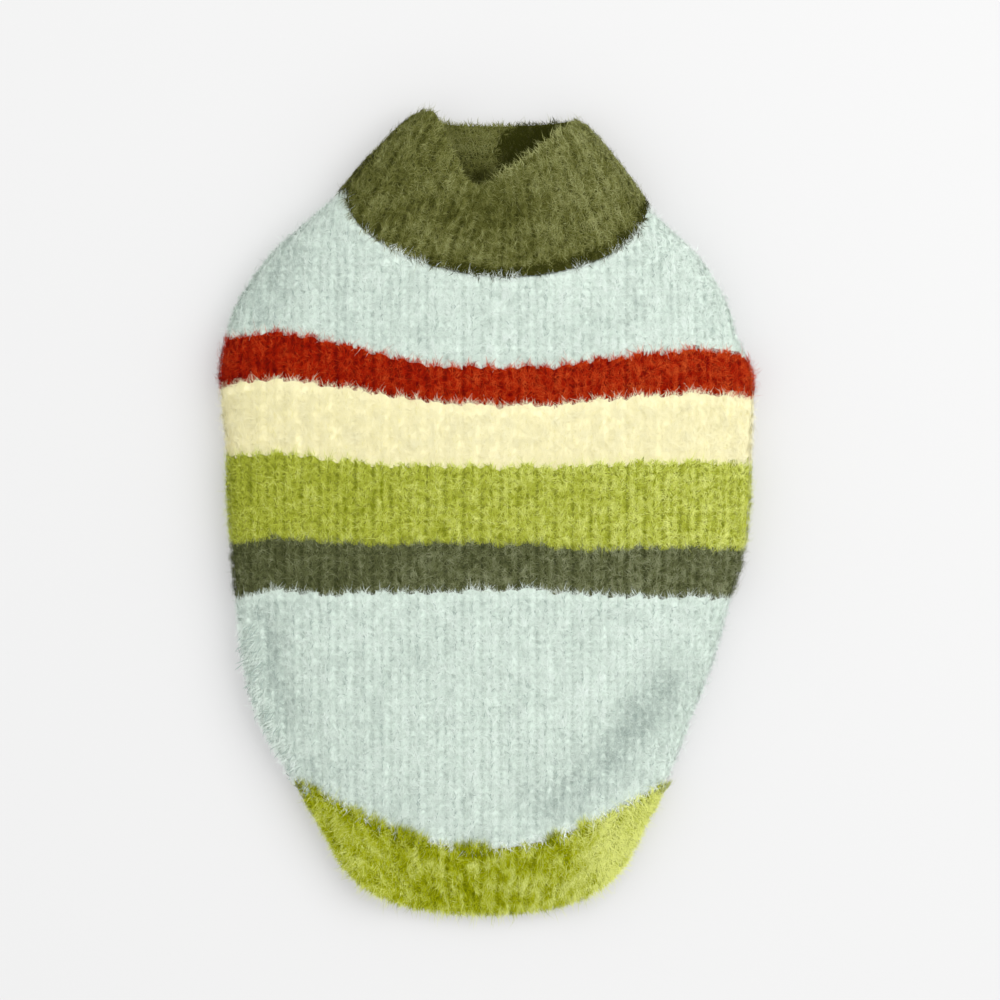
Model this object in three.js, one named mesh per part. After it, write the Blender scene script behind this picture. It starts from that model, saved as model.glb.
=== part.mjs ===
import * as THREE from "three";

// A dog sweater of chunky plush knit, laid flat on its belly side with the back up.
// Millimetres. X runs across the garment, Y toward the neck, Z up from the surface it lies on.

// The cloth
const cloth = 5.0;
const seamGap = 0.33;
const ribPitch = 6.8;
const ribStart = -1.7;
const grooveDepth = 0.8;

// The body's cross-section: a flat belly side, round side folds and a low arched back
const archPower = 2.8;
const foldReach = 11;
const seamInset = 22;
const straightSeam = 126;
const widestY = 44;

// One row per station up the body: the side folds, the back's height and the height of the folds' noses
const stations = [
  { y: -142, left: -40, right: 40, crown: 14, nose: 6.5 },
  { y: -123, left: -56.5, right: 54, crown: 15.5, nose: 7.0 },
  { y: -108, left: -67.5, right: 65, crown: 17.5, nose: 8.0 },
  { y: -93, left: -77.5, right: 71.5, crown: 19.5, nose: 9.0 },
  { y: -74, left: -87.3, right: 78.7, crown: 21.5, nose: 9.6 },
  { y: -55, left: -91.8, right: 86, crown: 23, nose: 10 },
  { y: -37, left: -94.3, right: 91, crown: 24, nose: 10 },
  { y: -18, left: -96.2, right: 96.8, crown: 24.6, nose: 10 },
  { y: 5, left: -98, right: 99.7, crown: 25, nose: 10 },
  { y: 27, left: -98.6, right: 100.2, crown: 25.5, nose: 10 },
  { y: 46, left: -100.6, right: 101.1, crown: 26, nose: 10 },
  { y: 54, left: -100.8, right: 100.3, crown: 26.2, nose: 10 },
  { y: 65, left: -98.8, right: 94.8, crown: 26.5, nose: 10 },
  { y: 76, left: -95.2, right: 91.5, crown: 26.8, nose: 10 },
  { y: 87, left: -88.7, right: 86.2, crown: 27, nose: 10 },
  { y: 98, left: -80.2, right: 78, crown: 27, nose: 10 },
  { y: 106, left: -71, right: 69.2, crown: 27, nose: 10 },
  { y: 113.5, left: -62.6, right: 62, crown: 27, nose: 10 },
  { y: 119, left: -56.2, right: 57, crown: 27, nose: 10 },
  { y: 134, left: -38, right: 38, crown: 27, nose: 10 },
];

// The levels of the back's rows, closer where the body narrows
const levels = [
  -118, -109, -101, -93, -85, -77, -68, -57, -45, -33, -20, -7, 6, 19, 31, 41, 50, 59, 68, 76, 83, 90, 97,
  103, 109,
];
const levelClear = 3;

// Soft hollows in the back, each along a line of the given width and depth
const troughs = [
  { fromX: 20, fromY: -112, toX: 46, toY: -93, width: 8, depth: 1.6 },
  { fromX: 46, fromY: -93, toX: 66, toY: -66, width: 8, depth: 2.2 },
  { fromX: -84, fromY: -42, toX: -76, toY: -78, width: 6, depth: 1.6 },
  { fromX: -78, fromY: 96, toX: -84, toY: 76, width: 8, depth: 1.4 },
];

// The neck seam on the back and on the belly side
const neckMiddle = 3.6;
const neckHalf = 57.5;
const neckCornerLeft = 119;
const neckCornerRight = 113.5;
const neckDropBack = 28.5;
const neckDropBelly = 13;

// The hem seam on the back and on the belly side
const hemMiddle = -1.1;
const hemHalf = 68.8;
const hemCorner = -101.5;
const hemDropBack = 24.2;
const hemRiseBelly = 19;

// The collar's free rim
const rim = { middle: 4.7, half: 30.4, crown: 23, nose: 10, reach: 11 };
const rimBack = [
  { x: -25.8, y: 150.8 },
  { x: -21.5, y: 151.4 },
  { x: -18, y: 147 },
  { x: -13, y: 137 },
  { x: -8, y: 126.5 },
  { x: -1.5, y: 122.5 },
  { x: 5, y: 126.5 },
  { x: 12.5, y: 132 },
  { x: 20, y: 138 },
  { x: 27.5, y: 143.5 },
  { x: 35, y: 147.5 },
];
const rimBelly = [
  { x: -25.8, y: 150.8 },
  { x: -20, y: 148.5 },
  { x: -14, y: 146 },
  { x: 16, y: 145.5 },
  { x: 35, y: 147.5 },
];
const collarRings = 5;
const collarSwell = 1.6;

// The hem band's free edge
const edge = { middle: -1.1, half: 54.6, crown: 6, foldCrown: 12.5, nose: 6, reach: 7 };
const edgeCorner = -122.8;
const edgeDropBack = 28.7;
const edgePower = 2.3;
const edgeRiseBelly = 15;
const bandRings = 4;
const bandSwell = 0.4;

// The leg openings in the belly side
const legX = 45;
const legY = 60;
const legHalfWidth = 22;
const legHalfLength = 28;
const legPoints = 28;

const mix = (a, b, share) => a + (b - a) * share;
const clamp = (value, low, high) => Math.min(high, Math.max(low, value));
const arch = (u, power) => (1 - clamp(Math.abs(u), 0, 1) ** power) ** (1 / power);

function soften(value, low, high) {
  const share = clamp((value - low) / (high - low), 0, 1);
  return share * share * (3 - 2 * share);
}

// A smooth curve through one column of a table
function through(table, key, at, column) {
  const last = table.length - 1;
  const place = clamp(at, table[0][key], table[last][key]);
  let i = 0;
  while (i < last - 1 && table[i + 1][key] < place) i += 1;
  const a = table[i];
  const b = table[i + 1];
  const before = table[Math.max(i - 1, 0)];
  const after = table[Math.min(i + 2, last)];
  const span = b[key] - a[key];
  const share = (place - a[key]) / span;
  const slopeA = ((b[column] - before[column]) / (b[key] - before[key])) * span;
  const slopeB = ((after[column] - a[column]) / (after[key] - a[key])) * span;
  const square = share * share;
  const cube = square * share;
  return (
    a[column] * (2 * cube - 3 * square + 1) +
    slopeA * (cube - 2 * square + share) +
    b[column] * (3 * square - 2 * cube) +
    slopeB * (cube - square)
  );
}

// A point of the body's cross-section. The turn runs 0 to 1 from the crown to a fold's nose, 1 to 2 under
// the fold and past 2 along the belly side.
function sectionPoint(body, side, turn, depth) {
  if (turn <= 1) {
    const u = 1 - (1 - turn) ** 3;
    const rise = body.crown - depth - body.nose;
    const x = body.half * u - depth * u ** 3;
    return [body.middle + side * x, body.nose + rise * arch(u, archPower)];
  }
  if (turn <= 2) {
    const angle = ((turn - 1) * Math.PI) / 2;
    const x = body.half - depth - (foldReach - depth) * (1 - Math.cos(angle));
    return [body.middle + side * x, body.nose - (body.nose - depth) * Math.sin(angle)];
  }
  const run = (turn - 2) * (seamInset - foldReach);
  return [body.middle + side * (body.half - foldReach - run), depth];
}

// The cross-section at a height up the body, measured along the cloth from the garment's middle line
function sectionAt(y) {
  const left = through(stations, "y", y, "left");
  const right = through(stations, "y", y, "right");
  const body = {
    middle: (left + right) / 2,
    half: (right - left) / 2,
    crown: through(stations, "y", y, "crown"),
    nose: through(stations, "y", y, "nose"),
  };
  const steps = 24;
  const samples = [];
  for (let i = -3 * steps; i <= 3 * steps; i += 1) {
    const turn = Math.abs(i) / steps;
    const side = i < 0 ? -1 : 1;
    const [x, z] = sectionPoint(body, side, turn, 0);
    const last = samples[samples.length - 1];
    const length = last ? last.length + Math.hypot(x - last.x, z - last.z) : 0;
    samples.push({ signedTurn: i / steps, x, z, length });
  }
  const zero = samples.findIndex((sample) => Math.abs(sample.signedTurn) < 1 && sample.x > 0);
  const a = samples[zero - 1];
  const b = samples[zero];
  const start = mix(a.length, b.length, -a.x / (b.x - a.x));
  for (const sample of samples) sample.length -= start;
  return { y, body, samples };
}

// Where a distance along the cloth falls on the cross-section
function turnAt(section, along) {
  const { samples } = section;
  let i = 0;
  while (i < samples.length - 2 && samples[i + 1].length < along) i += 1;
  const a = samples[i];
  const b = samples[i + 1];
  const share = (along - a.length) / (b.length - a.length);
  return mix(a.signedTurn, b.signedTurn, share);
}

// The hollows fade out at the side folds
function troughDepth(x, y, turn) {
  let total = 0;
  for (const trough of troughs) {
    const dx = trough.toX - trough.fromX;
    const dy = trough.toY - trough.fromY;
    const reach = ((x - trough.fromX) * dx + (y - trough.fromY) * dy) / (dx * dx + dy * dy);
    const near = clamp(reach, 0, 1);
    const away = Math.hypot(x - trough.fromX - dx * near, y - trough.fromY - dy * near);
    total = Math.max(total, trough.depth * Math.exp(-((away / trough.width) ** 2)));
  }
  return total * (1 - soften(Math.abs(turn), 0.7, 1));
}

// The grooves between ribs, which fade out round the side folds
function grooveAt(along, turn) {
  const phase = (((along - ribStart) / ribPitch) % 1 + 1) % 1;
  const fromGroove = Math.min(phase, 1 - phase);
  return grooveDepth * (1 - clamp(fromGroove / 0.3, 0, 1)) * (1 - soften(Math.abs(turn), 0.75, 1.2));
}

// A point moved toward another by a distance
function toward(from, to, distance) {
  const start = new THREE.Vector3(...from);
  const step = new THREE.Vector3(...to).sub(start).setLength(distance);
  return start.add(step).toArray();
}

// The outer and inner point of the body's cloth
function bodyPlace(along, y) {
  const section = sectionAt(y);
  const turn = turnAt(section, along);
  const side = turn < 0 ? -1 : 1;
  const size = Math.abs(turn);
  const [x, z] = sectionPoint(section.body, side, size, 0);
  const [innerX, innerZ] = sectionPoint(section.body, side, size, cloth);
  const sink = troughDepth(x, y, turn);
  const inner = [innerX, y, innerZ - sink];
  return { turn, x, outer: toward([x, y, z - sink], inner, grooveAt(along, turn)), inner };
}

// Y of the neck and hem seams, on the back for turns up to the nose and on the belly side past it
function neckSeam(x, onBack) {
  const u = (x - neckMiddle) / neckHalf;
  const corner = mix(neckCornerLeft, neckCornerRight, clamp((u + 1) / 2, 0, 1));
  return corner - (onBack ? neckDropBack : neckDropBelly) * arch(u, 1.9);
}

function hemSeam(x, onBack) {
  const u = clamp((x - hemMiddle) / hemHalf, -1, 1);
  return hemCorner + (onBack ? -hemDropBack : hemRiseBelly) * Math.cos((u * Math.PI) / 2);
}

// The side seams run straight along a rib by the widest part and in from the side fold elsewhere
const leftEnd = (section) => Math.max(section.samples[0].length, -straightSeam);
const rightEnd = (section) => Math.min(section.samples[section.samples.length - 1].length, straightSeam);

function insideBack(along, y) {
  const section = sectionAt(y);
  if (along < leftEnd(section) || along > rightEnd(section)) return false;
  const turn = turnAt(section, along);
  const [x] = sectionPoint(section.body, turn < 0 ? -1 : 1, Math.abs(turn), 0);
  const onBack = Math.abs(turn) <= 1;
  return y < neckSeam(x, onBack) && y > hemSeam(x, onBack);
}

// The last value from inside toward outside that still passes the test
function lastWhere(test, inside, outside) {
  let good = inside;
  let bad = outside;
  for (let i = 0; i < 34; i += 1) {
    const middle = (good + bad) / 2;
    if (test(middle)) good = middle;
    else bad = middle;
  }
  return good;
}

// Where the side seam meets the neck seam and the hem seam, on one side
function seamCorner(side, outside) {
  const end = (y) => (side < 0 ? leftEnd(sectionAt(y)) : rightEnd(sectionAt(y)));
  const y = lastWhere((level) => insideBack(end(level) - side * 1e-6, level), widestY, outside);
  return { along: end(y) - side * 0.02, y };
}

const corners = {
  neckLeft: seamCorner(-1, 130),
  neckRight: seamCorner(1, 130),
  hemLeft: seamCorner(-1, -140),
  hemRight: seamCorner(1, -140),
};

// The distances along the cloth at which the ribs' lines run, with those of the corners and the side seams
function backColumns() {
  const first = -straightSeam + 0.02;
  const last = straightSeam - 0.02;
  const special = [first, last, ...Object.values(corners).map((corner) => corner.along)];
  const columns = special.map((along) => ({ along, kept: true }));
  const ribs = Math.ceil(straightSeam / ribPitch) + 1;
  for (let rib = -ribs; rib <= ribs; rib += 1) {
    for (const phase of [0, 0.3, 0.7]) {
      const along = ribStart + (rib + phase) * ribPitch;
      const clear = special.every((other) => Math.abs(other - along) > 0.9);
      if (along > first && along < last && clear) columns.push({ along, kept: phase === 0 });
    }
  }
  return columns.sort((a, b) => a.along - b.along);
}

function backPlaces() {
  return backColumns().map(({ along, kept }) => {
    const low = lastWhere((y) => insideBack(along, y), widestY, -145);
    const high = lastWhere((y) => insideBack(along, y), widestY, 132);
    const within = levels.filter((y) => y > low + levelClear && y < high - levelClear);
    const rows = [low, ...within, high];
    const places = rows.map((y) => ({ ...bodyPlace(along, y), row: y, flat: [along, y] }));
    return { along, kept, places };
  });
}

// Triangles over the strip between two columns of places, anticlockwise as seen on the outer side. They are
// laid out in plan on the flat belly side, and along the cloth elsewhere.
function strip(left, right, between, add) {
  const shared = left.places.slice(1, -1).map((place) => place.row);
  const rows = shared.filter((row) => right.places.slice(1, -1).some((place) => place.row === row));
  const find = (column, row) => column.places.findIndex((place) => place.row === row);
  const fill = (loop) => {
    const below = loop.every((place) => Math.abs(place.turn) > 1.95);
    const spot = (place) => (below ? [-place.outer[0], place.outer[1]] : place.flat);
    const flat = loop.map((place) => new THREE.Vector2(...spot(place)));
    for (const [a, b, c] of THREE.ShapeUtils.triangulateShape(flat, [])) {
      const [p, q, r] = [flat[a], flat[b], flat[c]];
      const turn = (q.x - p.x) * (r.y - p.y) - (q.y - p.y) * (r.x - p.x);
      if (turn > 0) add(loop[a], loop[b], loop[c]);
      else add(loop[a], loop[c], loop[b]);
    }
  };
  const lows = between.map((column) => column.places[0]);
  const highs = between.map((column) => column.places[column.places.length - 1]).reverse();
  if (rows.length === 0) {
    fill([...left.places.slice().reverse(), ...lows, ...right.places, ...highs]);
    return;
  }
  const lowest = rows[0];
  const highest = rows[rows.length - 1];
  const under = left.places.slice(0, find(left, lowest) + 1).reverse();
  fill([...under, ...lows, ...right.places.slice(0, find(right, lowest) + 1)]);
  for (let i = 0; i + 1 < rows.length; i += 1) {
    const a = left.places[find(left, rows[i])];
    const b = right.places[find(right, rows[i])];
    const c = right.places[find(right, rows[i + 1])];
    const d = left.places[find(left, rows[i + 1])];
    add(a, b, c);
    add(a, c, d);
  }
  const over = left.places.slice(find(left, highest)).reverse();
  fill([...over, ...right.places.slice(find(right, highest)), ...highs]);
}

const topOfColumn = (column) => column.places[column.places.length - 1];
const bottomOfColumn = (column) => column.places[0];

// A wall of cloth over columns of places: a full outer side, a plain inner side and the edges between them.
// A closed wall's last column is its first one again.
function wall(columns, closed) {
  const positions = [];
  const indices = [];
  const known = new Map();
  const indexOf = (point) => {
    if (!known.has(point)) {
      known.set(point, positions.length / 3);
      positions.push(...point);
    }
    return known.get(point);
  };
  const addTriangle = (a, b, c) => indices.push(indexOf(a), indexOf(b), indexOf(c));
  const addOuter = (a, b, c) => addTriangle(a.outer, b.outer, c.outer);
  const addInner = (a, b, c) => addTriangle(a.inner, c.inner, b.inner);
  const addLowEdge = (a, b) => {
    addTriangle(b.outer, a.outer, a.inner);
    addTriangle(b.outer, a.inner, b.inner);
  };
  const addHighEdge = (a, b) => {
    addTriangle(a.outer, b.outer, a.inner);
    addTriangle(b.outer, b.inner, a.inner);
  };
  for (let i = 0; i + 1 < columns.length; i += 1) {
    const [a, b] = [columns[i], columns[i + 1]];
    strip(a, b, [], addOuter);
    addLowEdge(a.places[0], b.places[0]);
    addHighEdge(topOfColumn(a), topOfColumn(b));
  }
  const kept = [...columns.keys()].filter((i) => columns[i].kept);
  for (let i = 0; i + 1 < kept.length; i += 1) {
    const between = columns.slice(kept[i] + 1, kept[i + 1]);
    strip(columns[kept[i]], columns[kept[i + 1]], between, addInner);
  }
  if (!closed) {
    const first = columns[0].places;
    const last = columns[columns.length - 1].places;
    for (let i = 0; i + 1 < first.length; i += 1) addHighEdge(first[i], first[i + 1]);
    for (let i = 0; i + 1 < last.length; i += 1) addLowEdge(last[i], last[i + 1]);
  }
  return solid(positions, indices);
}

function solid(positions, indices) {
  const geometry = new THREE.BufferGeometry();
  geometry.setAttribute("position", new THREE.Float32BufferAttribute(positions, 3));
  geometry.setIndex(indices);
  geometry.computeVertexNormals();
  return geometry;
}

const backWall = backPlaces();

// Evenly spaced X between two seam corners on the belly side
function bellySteps(fromX, toX, count) {
  return Array.from({ length: count }, (_, i) => mix(fromX, toX, (i + 1) / (count + 1)));
}

// How far along Y a seam's other piece starts, for an even gap between the two cut edges
function seamShift(before, place, after) {
  const through = new THREE.Vector3(...place.inner).sub(new THREE.Vector3(...place.outer));
  const facing = ["outer", "inner"].map((face) => {
    const along = new THREE.Vector3(...after[face]).sub(new THREE.Vector3(...before[face]));
    return Math.abs(along.cross(through).normalize().y);
  });
  return seamGap / Math.max(Math.min(...facing), 0.25);
}

// The seam ring that a tube joins, from the left corner over the back to the right one and home along the
// belly side. The seam line is given as Y over X. The push is +1 toward the neck and -1 toward the tail.
function seamRing(left, right, endOf, seamLine, push) {
  const columns = backWall.filter((c) => c.along >= left.along && c.along <= right.along);
  const ring = columns.map(({ along, kept }, i) => {
    const place = endOf(columns[i]);
    const before = endOf(columns[Math.max(i - 1, 0)]);
    const after = endOf(columns[Math.min(i + 1, columns.length - 1)]);
    const shift = push * seamShift(before, place, after);
    const move = ([x, y, z]) => [x, y + shift, z];
    const moved = { outer: move(place.outer), inner: move(place.inner) };
    return { turn: place.turn, x: place.x, along, kept, groove: grooveAt(along, place.turn), ...moved };
  });
  const fromX = ring[ring.length - 1].x;
  const toX = ring[0].x;
  for (const x of bellySteps(fromX, toX, 8)) {
    const slope = seamLine(x + 0.5, false) - seamLine(x - 0.5, false);
    const y = seamLine(x, false) + push * seamGap * Math.hypot(1, slope);
    ring.push({ turn: 3, x, outer: [x, y, 0], inner: [x, y, cloth], groove: 0, kept: true });
  }
  return ring;
}

// A point of a tube's free end, by the same turns as the body's cross-section
function endPoint(end, side, turn, under, depth) {
  if (turn <= 1) {
    const u = 1 - (1 - turn) ** 3;
    const crown = mix(end.crown, end.foldCrown, soften(u, 0.45, 0.9));
    const x = end.middle + side * (end.half * u - depth * u ** 3);
    const z = end.nose + (crown - depth - end.nose) * arch(u, archPower);
    return [x, end.backLine(end.middle + side * end.half * u), z];
  }
  if (turn <= 2) {
    const angle = ((turn - 1) * Math.PI) / 2;
    const reach = end.half - end.reach * (1 - Math.cos(angle));
    const x = end.half - depth - (end.reach - depth) * (1 - Math.cos(angle));
    const z = end.nose - (end.nose - depth) * Math.sin(angle);
    return [end.middle + side * x, end.bellyLine(end.middle + side * reach), z];
  }
  const x = end.middle + (end.half - end.reach) * under;
  return [x, end.bellyLine(x), depth];
}

// The turn that lies a given share of the way along the free end from its crown to its nose
function turnAtShare(end, share) {
  const steps = 40;
  const lengths = [0];
  for (let i = 1; i <= steps; i += 1) {
    const [xa, , za] = endPoint(end, 1, (i - 1) / steps, 0, 0);
    const [xb, , zb] = endPoint(end, 1, i / steps, 0, 0);
    lengths.push(lengths[i - 1] + Math.hypot(xb - xa, zb - za));
  }
  const wanted = share * lengths[steps];
  let i = 0;
  while (i < steps - 1 && lengths[i + 1] < wanted) i += 1;
  return (i + (wanted - lengths[i]) / (lengths[i + 1] - lengths[i])) / steps;
}

// A tube of cloth from a seam ring to its free end, pushed toward the neck or the tail
function tube(ring, end, rings, swell, push) {
  const upper = ring.filter((place) => Math.abs(place.turn) <= 1);
  const noseLeft = upper[0].along - ribPitch * 0.1;
  const noseRight = upper[upper.length - 1].along + ribPitch * 0.1;
  const under = ring.filter((place) => Math.abs(place.turn) > 2);
  const underLeft = Math.min(...under.map((place) => place.x));
  const underRight = Math.max(...under.map((place) => place.x));
  const columns = ring.map((place, i) => {
    const side = place.turn < 0 ? -1 : 1;
    const size = Math.abs(place.turn);
    const share = place.along < 0 ? place.along / noseLeft : place.along / noseRight;
    const turn = size <= 1 ? turnAtShare(end, share) : size;
    const bent = place.along < 0 && size <= 1 ? -1 : side;
    const across = ((place.x - underLeft) / (underRight - underLeft)) * 2 - 1;
    const freeInner = endPoint(end, bent, turn, across, cloth);
    const freeOuter = toward(endPoint(end, bent, turn, across, 0), freeInner, place.groove * 0.6);
    const places = [];
    for (let k = 0; k < rings; k += 1) {
      const v = k / (rings - 1);
      const out = size <= 1.5 ? swell * 4 * v * (1 - v) * (1 - soften(size, 1, 1.5)) : 0;
      const outer = place.outer.map((value, axis) => mix(value, freeOuter[axis], v));
      const inner = place.inner.map((value, axis) => mix(value, freeInner[axis], v));
      places.push({
        row: k,
        flat: [i, push * v],
        outer: toward(outer, inner, -out),
        inner: toward(inner, outer, out),
      });
    }
    if (push < 0) places.reverse();
    return { kept: place.kept, places };
  });
  const again = columns[0].places.map((place) => ({ ...place, flat: [ring.length, place.flat[1]] }));
  return wall([...columns, { kept: true, places: again }], true);
}

// The side seam's path on the flat belly side, from the neck to the hem
function sideSeam(neck, hem) {
  const side = Math.sign(neck.along);
  const beyond = (corner) => backWall.filter((c) => side * (c.along - corner.along) >= 0);
  const outward = (columns) => columns.sort((a, b) => side * (a.along - b.along));
  const tops = outward(beyond(neck)).map(topOfColumn);
  const outermost = side < 0 ? backWall[0] : backWall[backWall.length - 1];
  const beside = outermost.places.slice(1, -1).reverse();
  const bottoms = outward(beyond(hem)).map(bottomOfColumn).reverse();
  const path = [...tops, ...beside, ...bottoms].map((place) => [place.outer[0], place.outer[1]]);
  return path.map(([x, y], i) => {
    const [xa, ya] = path[Math.max(i - 1, 0)];
    const [xb, yb] = path[Math.min(i + 1, path.length - 1)];
    const length = Math.hypot(xb - xa, yb - ya);
    return [x - (side * seamGap * (ya - yb)) / length, y - (side * seamGap * (xb - xa)) / length];
  });
}

// A flat plate of cloth resting on the surface
function plate(outline, holes) {
  const loops = [outline, ...holes];
  const points = loops.flat();
  const positions = [...points.flatMap(([x, y]) => [x, y, 0]), ...points.flatMap(([x, y]) => [x, y, cloth])];
  const count = points.length;
  const vectors = loops.map((loop) => loop.map(([x, y]) => new THREE.Vector2(x, y)));
  const indices = [];
  for (const [a, b, c] of THREE.ShapeUtils.triangulateShape(vectors[0], vectors.slice(1))) {
    indices.push(a + count, b + count, c + count, a, c, b);
  }
  let start = 0;
  for (const loop of loops) {
    for (let i = 0; i < loop.length; i += 1) {
      const a = start + i;
      const b = start + ((i + 1) % loop.length);
      indices.push(a, b, b + count, a, b + count, a + count);
    }
    start += loop.length;
  }
  return solid(positions, indices);
}

function legHole(side) {
  return Array.from({ length: legPoints }, (_, i) => {
    const angle = (-i / legPoints) * Math.PI * 2;
    return [side * legX + legHalfWidth * Math.cos(angle), legY + legHalfLength * Math.sin(angle)];
  });
}

function bellyPanel() {
  const leftSeam = sideSeam(corners.neckLeft, corners.hemLeft);
  const rightSeam = sideSeam(corners.neckRight, corners.hemRight);
  const toSeam = (points, line) => points.map(([x]) => [x, line(x, false)]);
  const neckEnds = toSeam([rightSeam[0], leftSeam[0]], neckSeam);
  const hemEnds = toSeam([leftSeam[leftSeam.length - 1], rightSeam[rightSeam.length - 1]], hemSeam);
  const neckPoints = bellySteps(neckEnds[0][0], neckEnds[1][0], 8).map((x) => [x, neckSeam(x, false)]);
  const hemPoints = bellySteps(hemEnds[0][0], hemEnds[1][0], 8).map((x) => [x, hemSeam(x, false)]);
  const rightUp = [hemEnds[1], ...rightSeam.slice(1, -1).reverse(), neckEnds[0]];
  const leftDown = [neckEnds[1], ...leftSeam.slice(1, -1), hemEnds[0]];
  return plate([...hemPoints, ...rightUp, ...neckPoints, ...leftDown], [legHole(-1), legHole(1)]);
}

const neckRing = seamRing(corners.neckLeft, corners.neckRight, topOfColumn, neckSeam, 1);
const hemRing = seamRing(corners.hemLeft, corners.hemRight, bottomOfColumn, hemSeam, -1);
const collarEnd = {
  ...rim,
  foldCrown: rim.crown,
  backLine: (x) => through(rimBack, "x", x, "y"),
  bellyLine: (x) => through(rimBelly, "x", x, "y"),
};
const bandEnd = {
  ...edge,
  backLine: (x) => edgeCorner - edgeDropBack * arch((x - edge.middle) / edge.half, edgePower),
  bellyLine: (x) => edgeCorner + edgeRiseBelly * Math.cos(((x - edge.middle) / edge.half) * (Math.PI / 2)),
};

const garment = new THREE.Group();
const pieces = [
  { name: "back_panel", color: 0xd3e0d6, geometry: wall(backWall, false) },
  { name: "belly_panel", color: 0xd3e0d6, geometry: bellyPanel() },
  { name: "collar", color: 0x626836, geometry: tube(neckRing, collarEnd, collarRings, collarSwell, 1) },
  { name: "hem_band", color: 0xa5aa2d, geometry: tube(hemRing, bandEnd, bandRings, bandSwell, -1) },
];
for (const { name, color, geometry } of pieces) {
  const mesh = new THREE.Mesh(geometry, new THREE.MeshStandardMaterial({ color, roughness: 1 }));
  mesh.name = name;
  garment.add(mesh);
}
const middle = new THREE.Box3().setFromObject(garment).getCenter(new THREE.Vector3());
garment.position.set(-middle.x, -middle.y, 0);

export default garment;
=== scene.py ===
import bpy
import math
import numpy as np
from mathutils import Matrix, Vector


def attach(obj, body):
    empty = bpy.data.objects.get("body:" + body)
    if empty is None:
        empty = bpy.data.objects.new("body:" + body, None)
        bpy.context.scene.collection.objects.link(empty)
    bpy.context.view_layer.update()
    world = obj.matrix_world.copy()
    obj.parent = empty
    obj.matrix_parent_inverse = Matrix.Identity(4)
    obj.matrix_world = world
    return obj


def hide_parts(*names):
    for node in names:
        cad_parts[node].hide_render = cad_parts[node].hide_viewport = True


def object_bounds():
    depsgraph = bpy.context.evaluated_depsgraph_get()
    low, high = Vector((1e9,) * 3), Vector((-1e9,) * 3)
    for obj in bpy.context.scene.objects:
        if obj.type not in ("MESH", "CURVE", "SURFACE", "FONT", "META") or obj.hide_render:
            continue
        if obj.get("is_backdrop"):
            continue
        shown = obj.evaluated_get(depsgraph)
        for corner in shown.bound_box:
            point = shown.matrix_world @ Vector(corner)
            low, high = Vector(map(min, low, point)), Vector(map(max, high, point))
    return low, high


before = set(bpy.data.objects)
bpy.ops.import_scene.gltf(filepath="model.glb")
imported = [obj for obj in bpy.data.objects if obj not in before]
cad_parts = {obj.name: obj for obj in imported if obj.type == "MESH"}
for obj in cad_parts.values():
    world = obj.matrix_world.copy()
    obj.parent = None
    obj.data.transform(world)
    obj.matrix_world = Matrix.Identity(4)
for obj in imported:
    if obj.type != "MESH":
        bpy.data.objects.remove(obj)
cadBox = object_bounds()
scene = bpy.context.scene
random = np.random.default_rng(27)
print("frame loaded with", ", ".join(sorted(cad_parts)))


def addObject(name, data):
    made = bpy.data.objects.new(name, data)
    scene.collection.objects.link(made)
    return made


# Camera straight over the garment, floor and soft light from the upper right
studio = {
    "aim": (0.00502, 0.00464), "distance": 3.0, "planeHeight": 0.010, "pictureWidth": 0.375,
    "floorTone": (0.41, 0.41, 0.41), "floorGlow": 0.31, "skyStrength": 0.98, "keyPower": 18.6, "fillPower": 2.0,
}

cameraData = bpy.data.cameras.new("camera")
cameraData.sensor_width = 36
cameraData.lens = 36 * (studio["distance"] - studio["planeHeight"]) / studio["pictureWidth"]
cameraData.clip_end = 20
camera = addObject("camera", cameraData)
camera.location = (*studio["aim"], studio["distance"])
scene.camera = camera
scene.view_settings.view_transform = "Standard"


def addLight(name, place, size, power):
    data = bpy.data.lights.new(name, "AREA")
    data.shape = "SQUARE"
    data.size = size
    data.energy = power
    lamp = addObject(name, data)
    x, y, z = place
    lamp.location = place
    lamp.rotation_euler = (math.atan2(math.hypot(x, y), z), 0, math.atan2(y, x) + math.pi / 2)


addLight("keyLight", (0.75, 0.55, 1.35), 1.5, studio["keyPower"])
addLight("fillLight", (-0.9, -0.5, 1.5), 1.4, studio["fillPower"])
world = bpy.data.worlds.new("studio")
world.use_nodes = True
world.node_tree.nodes["Background"].inputs["Color"].default_value = (1, 1, 1, 1)
world.node_tree.nodes["Background"].inputs["Strength"].default_value = studio["skyStrength"]
scene.world = world
print("camera and lights ready")


# Shader helpers. What goes into a socket is a plain value or the output of another node
def feed(tree, node, values):
    for key, value in values.items():
        if isinstance(value, bpy.types.NodeSocket):
            tree.links.new(value, node.inputs[key])
        else:
            node.inputs[key].default_value = value


def addNode(tree, kind, values=None):
    node = tree.nodes.new("ShaderNode" + kind)
    feed(tree, node, values or {})
    return node


def mathNode(tree, operation, *values):
    node = addNode(tree, "Math")
    node.operation = operation
    feed(tree, node, dict(enumerate(values)))
    return node.outputs[0]


def mixColors(tree, share, first, second):
    node = addNode(tree, "Mix")
    node.data_type = "RGBA"
    feed(tree, node, {0: share, 6: first, 7: second})
    return node.outputs[2]


# How far a value lies from the middle of its cell, 0 to 1
def fromMiddle(tree, value):
    return mathNode(tree, "MULTIPLY", mathNode(tree, "ABSOLUTE", mathNode(tree, "SUBTRACT", value, 0.5)), 2)


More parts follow.
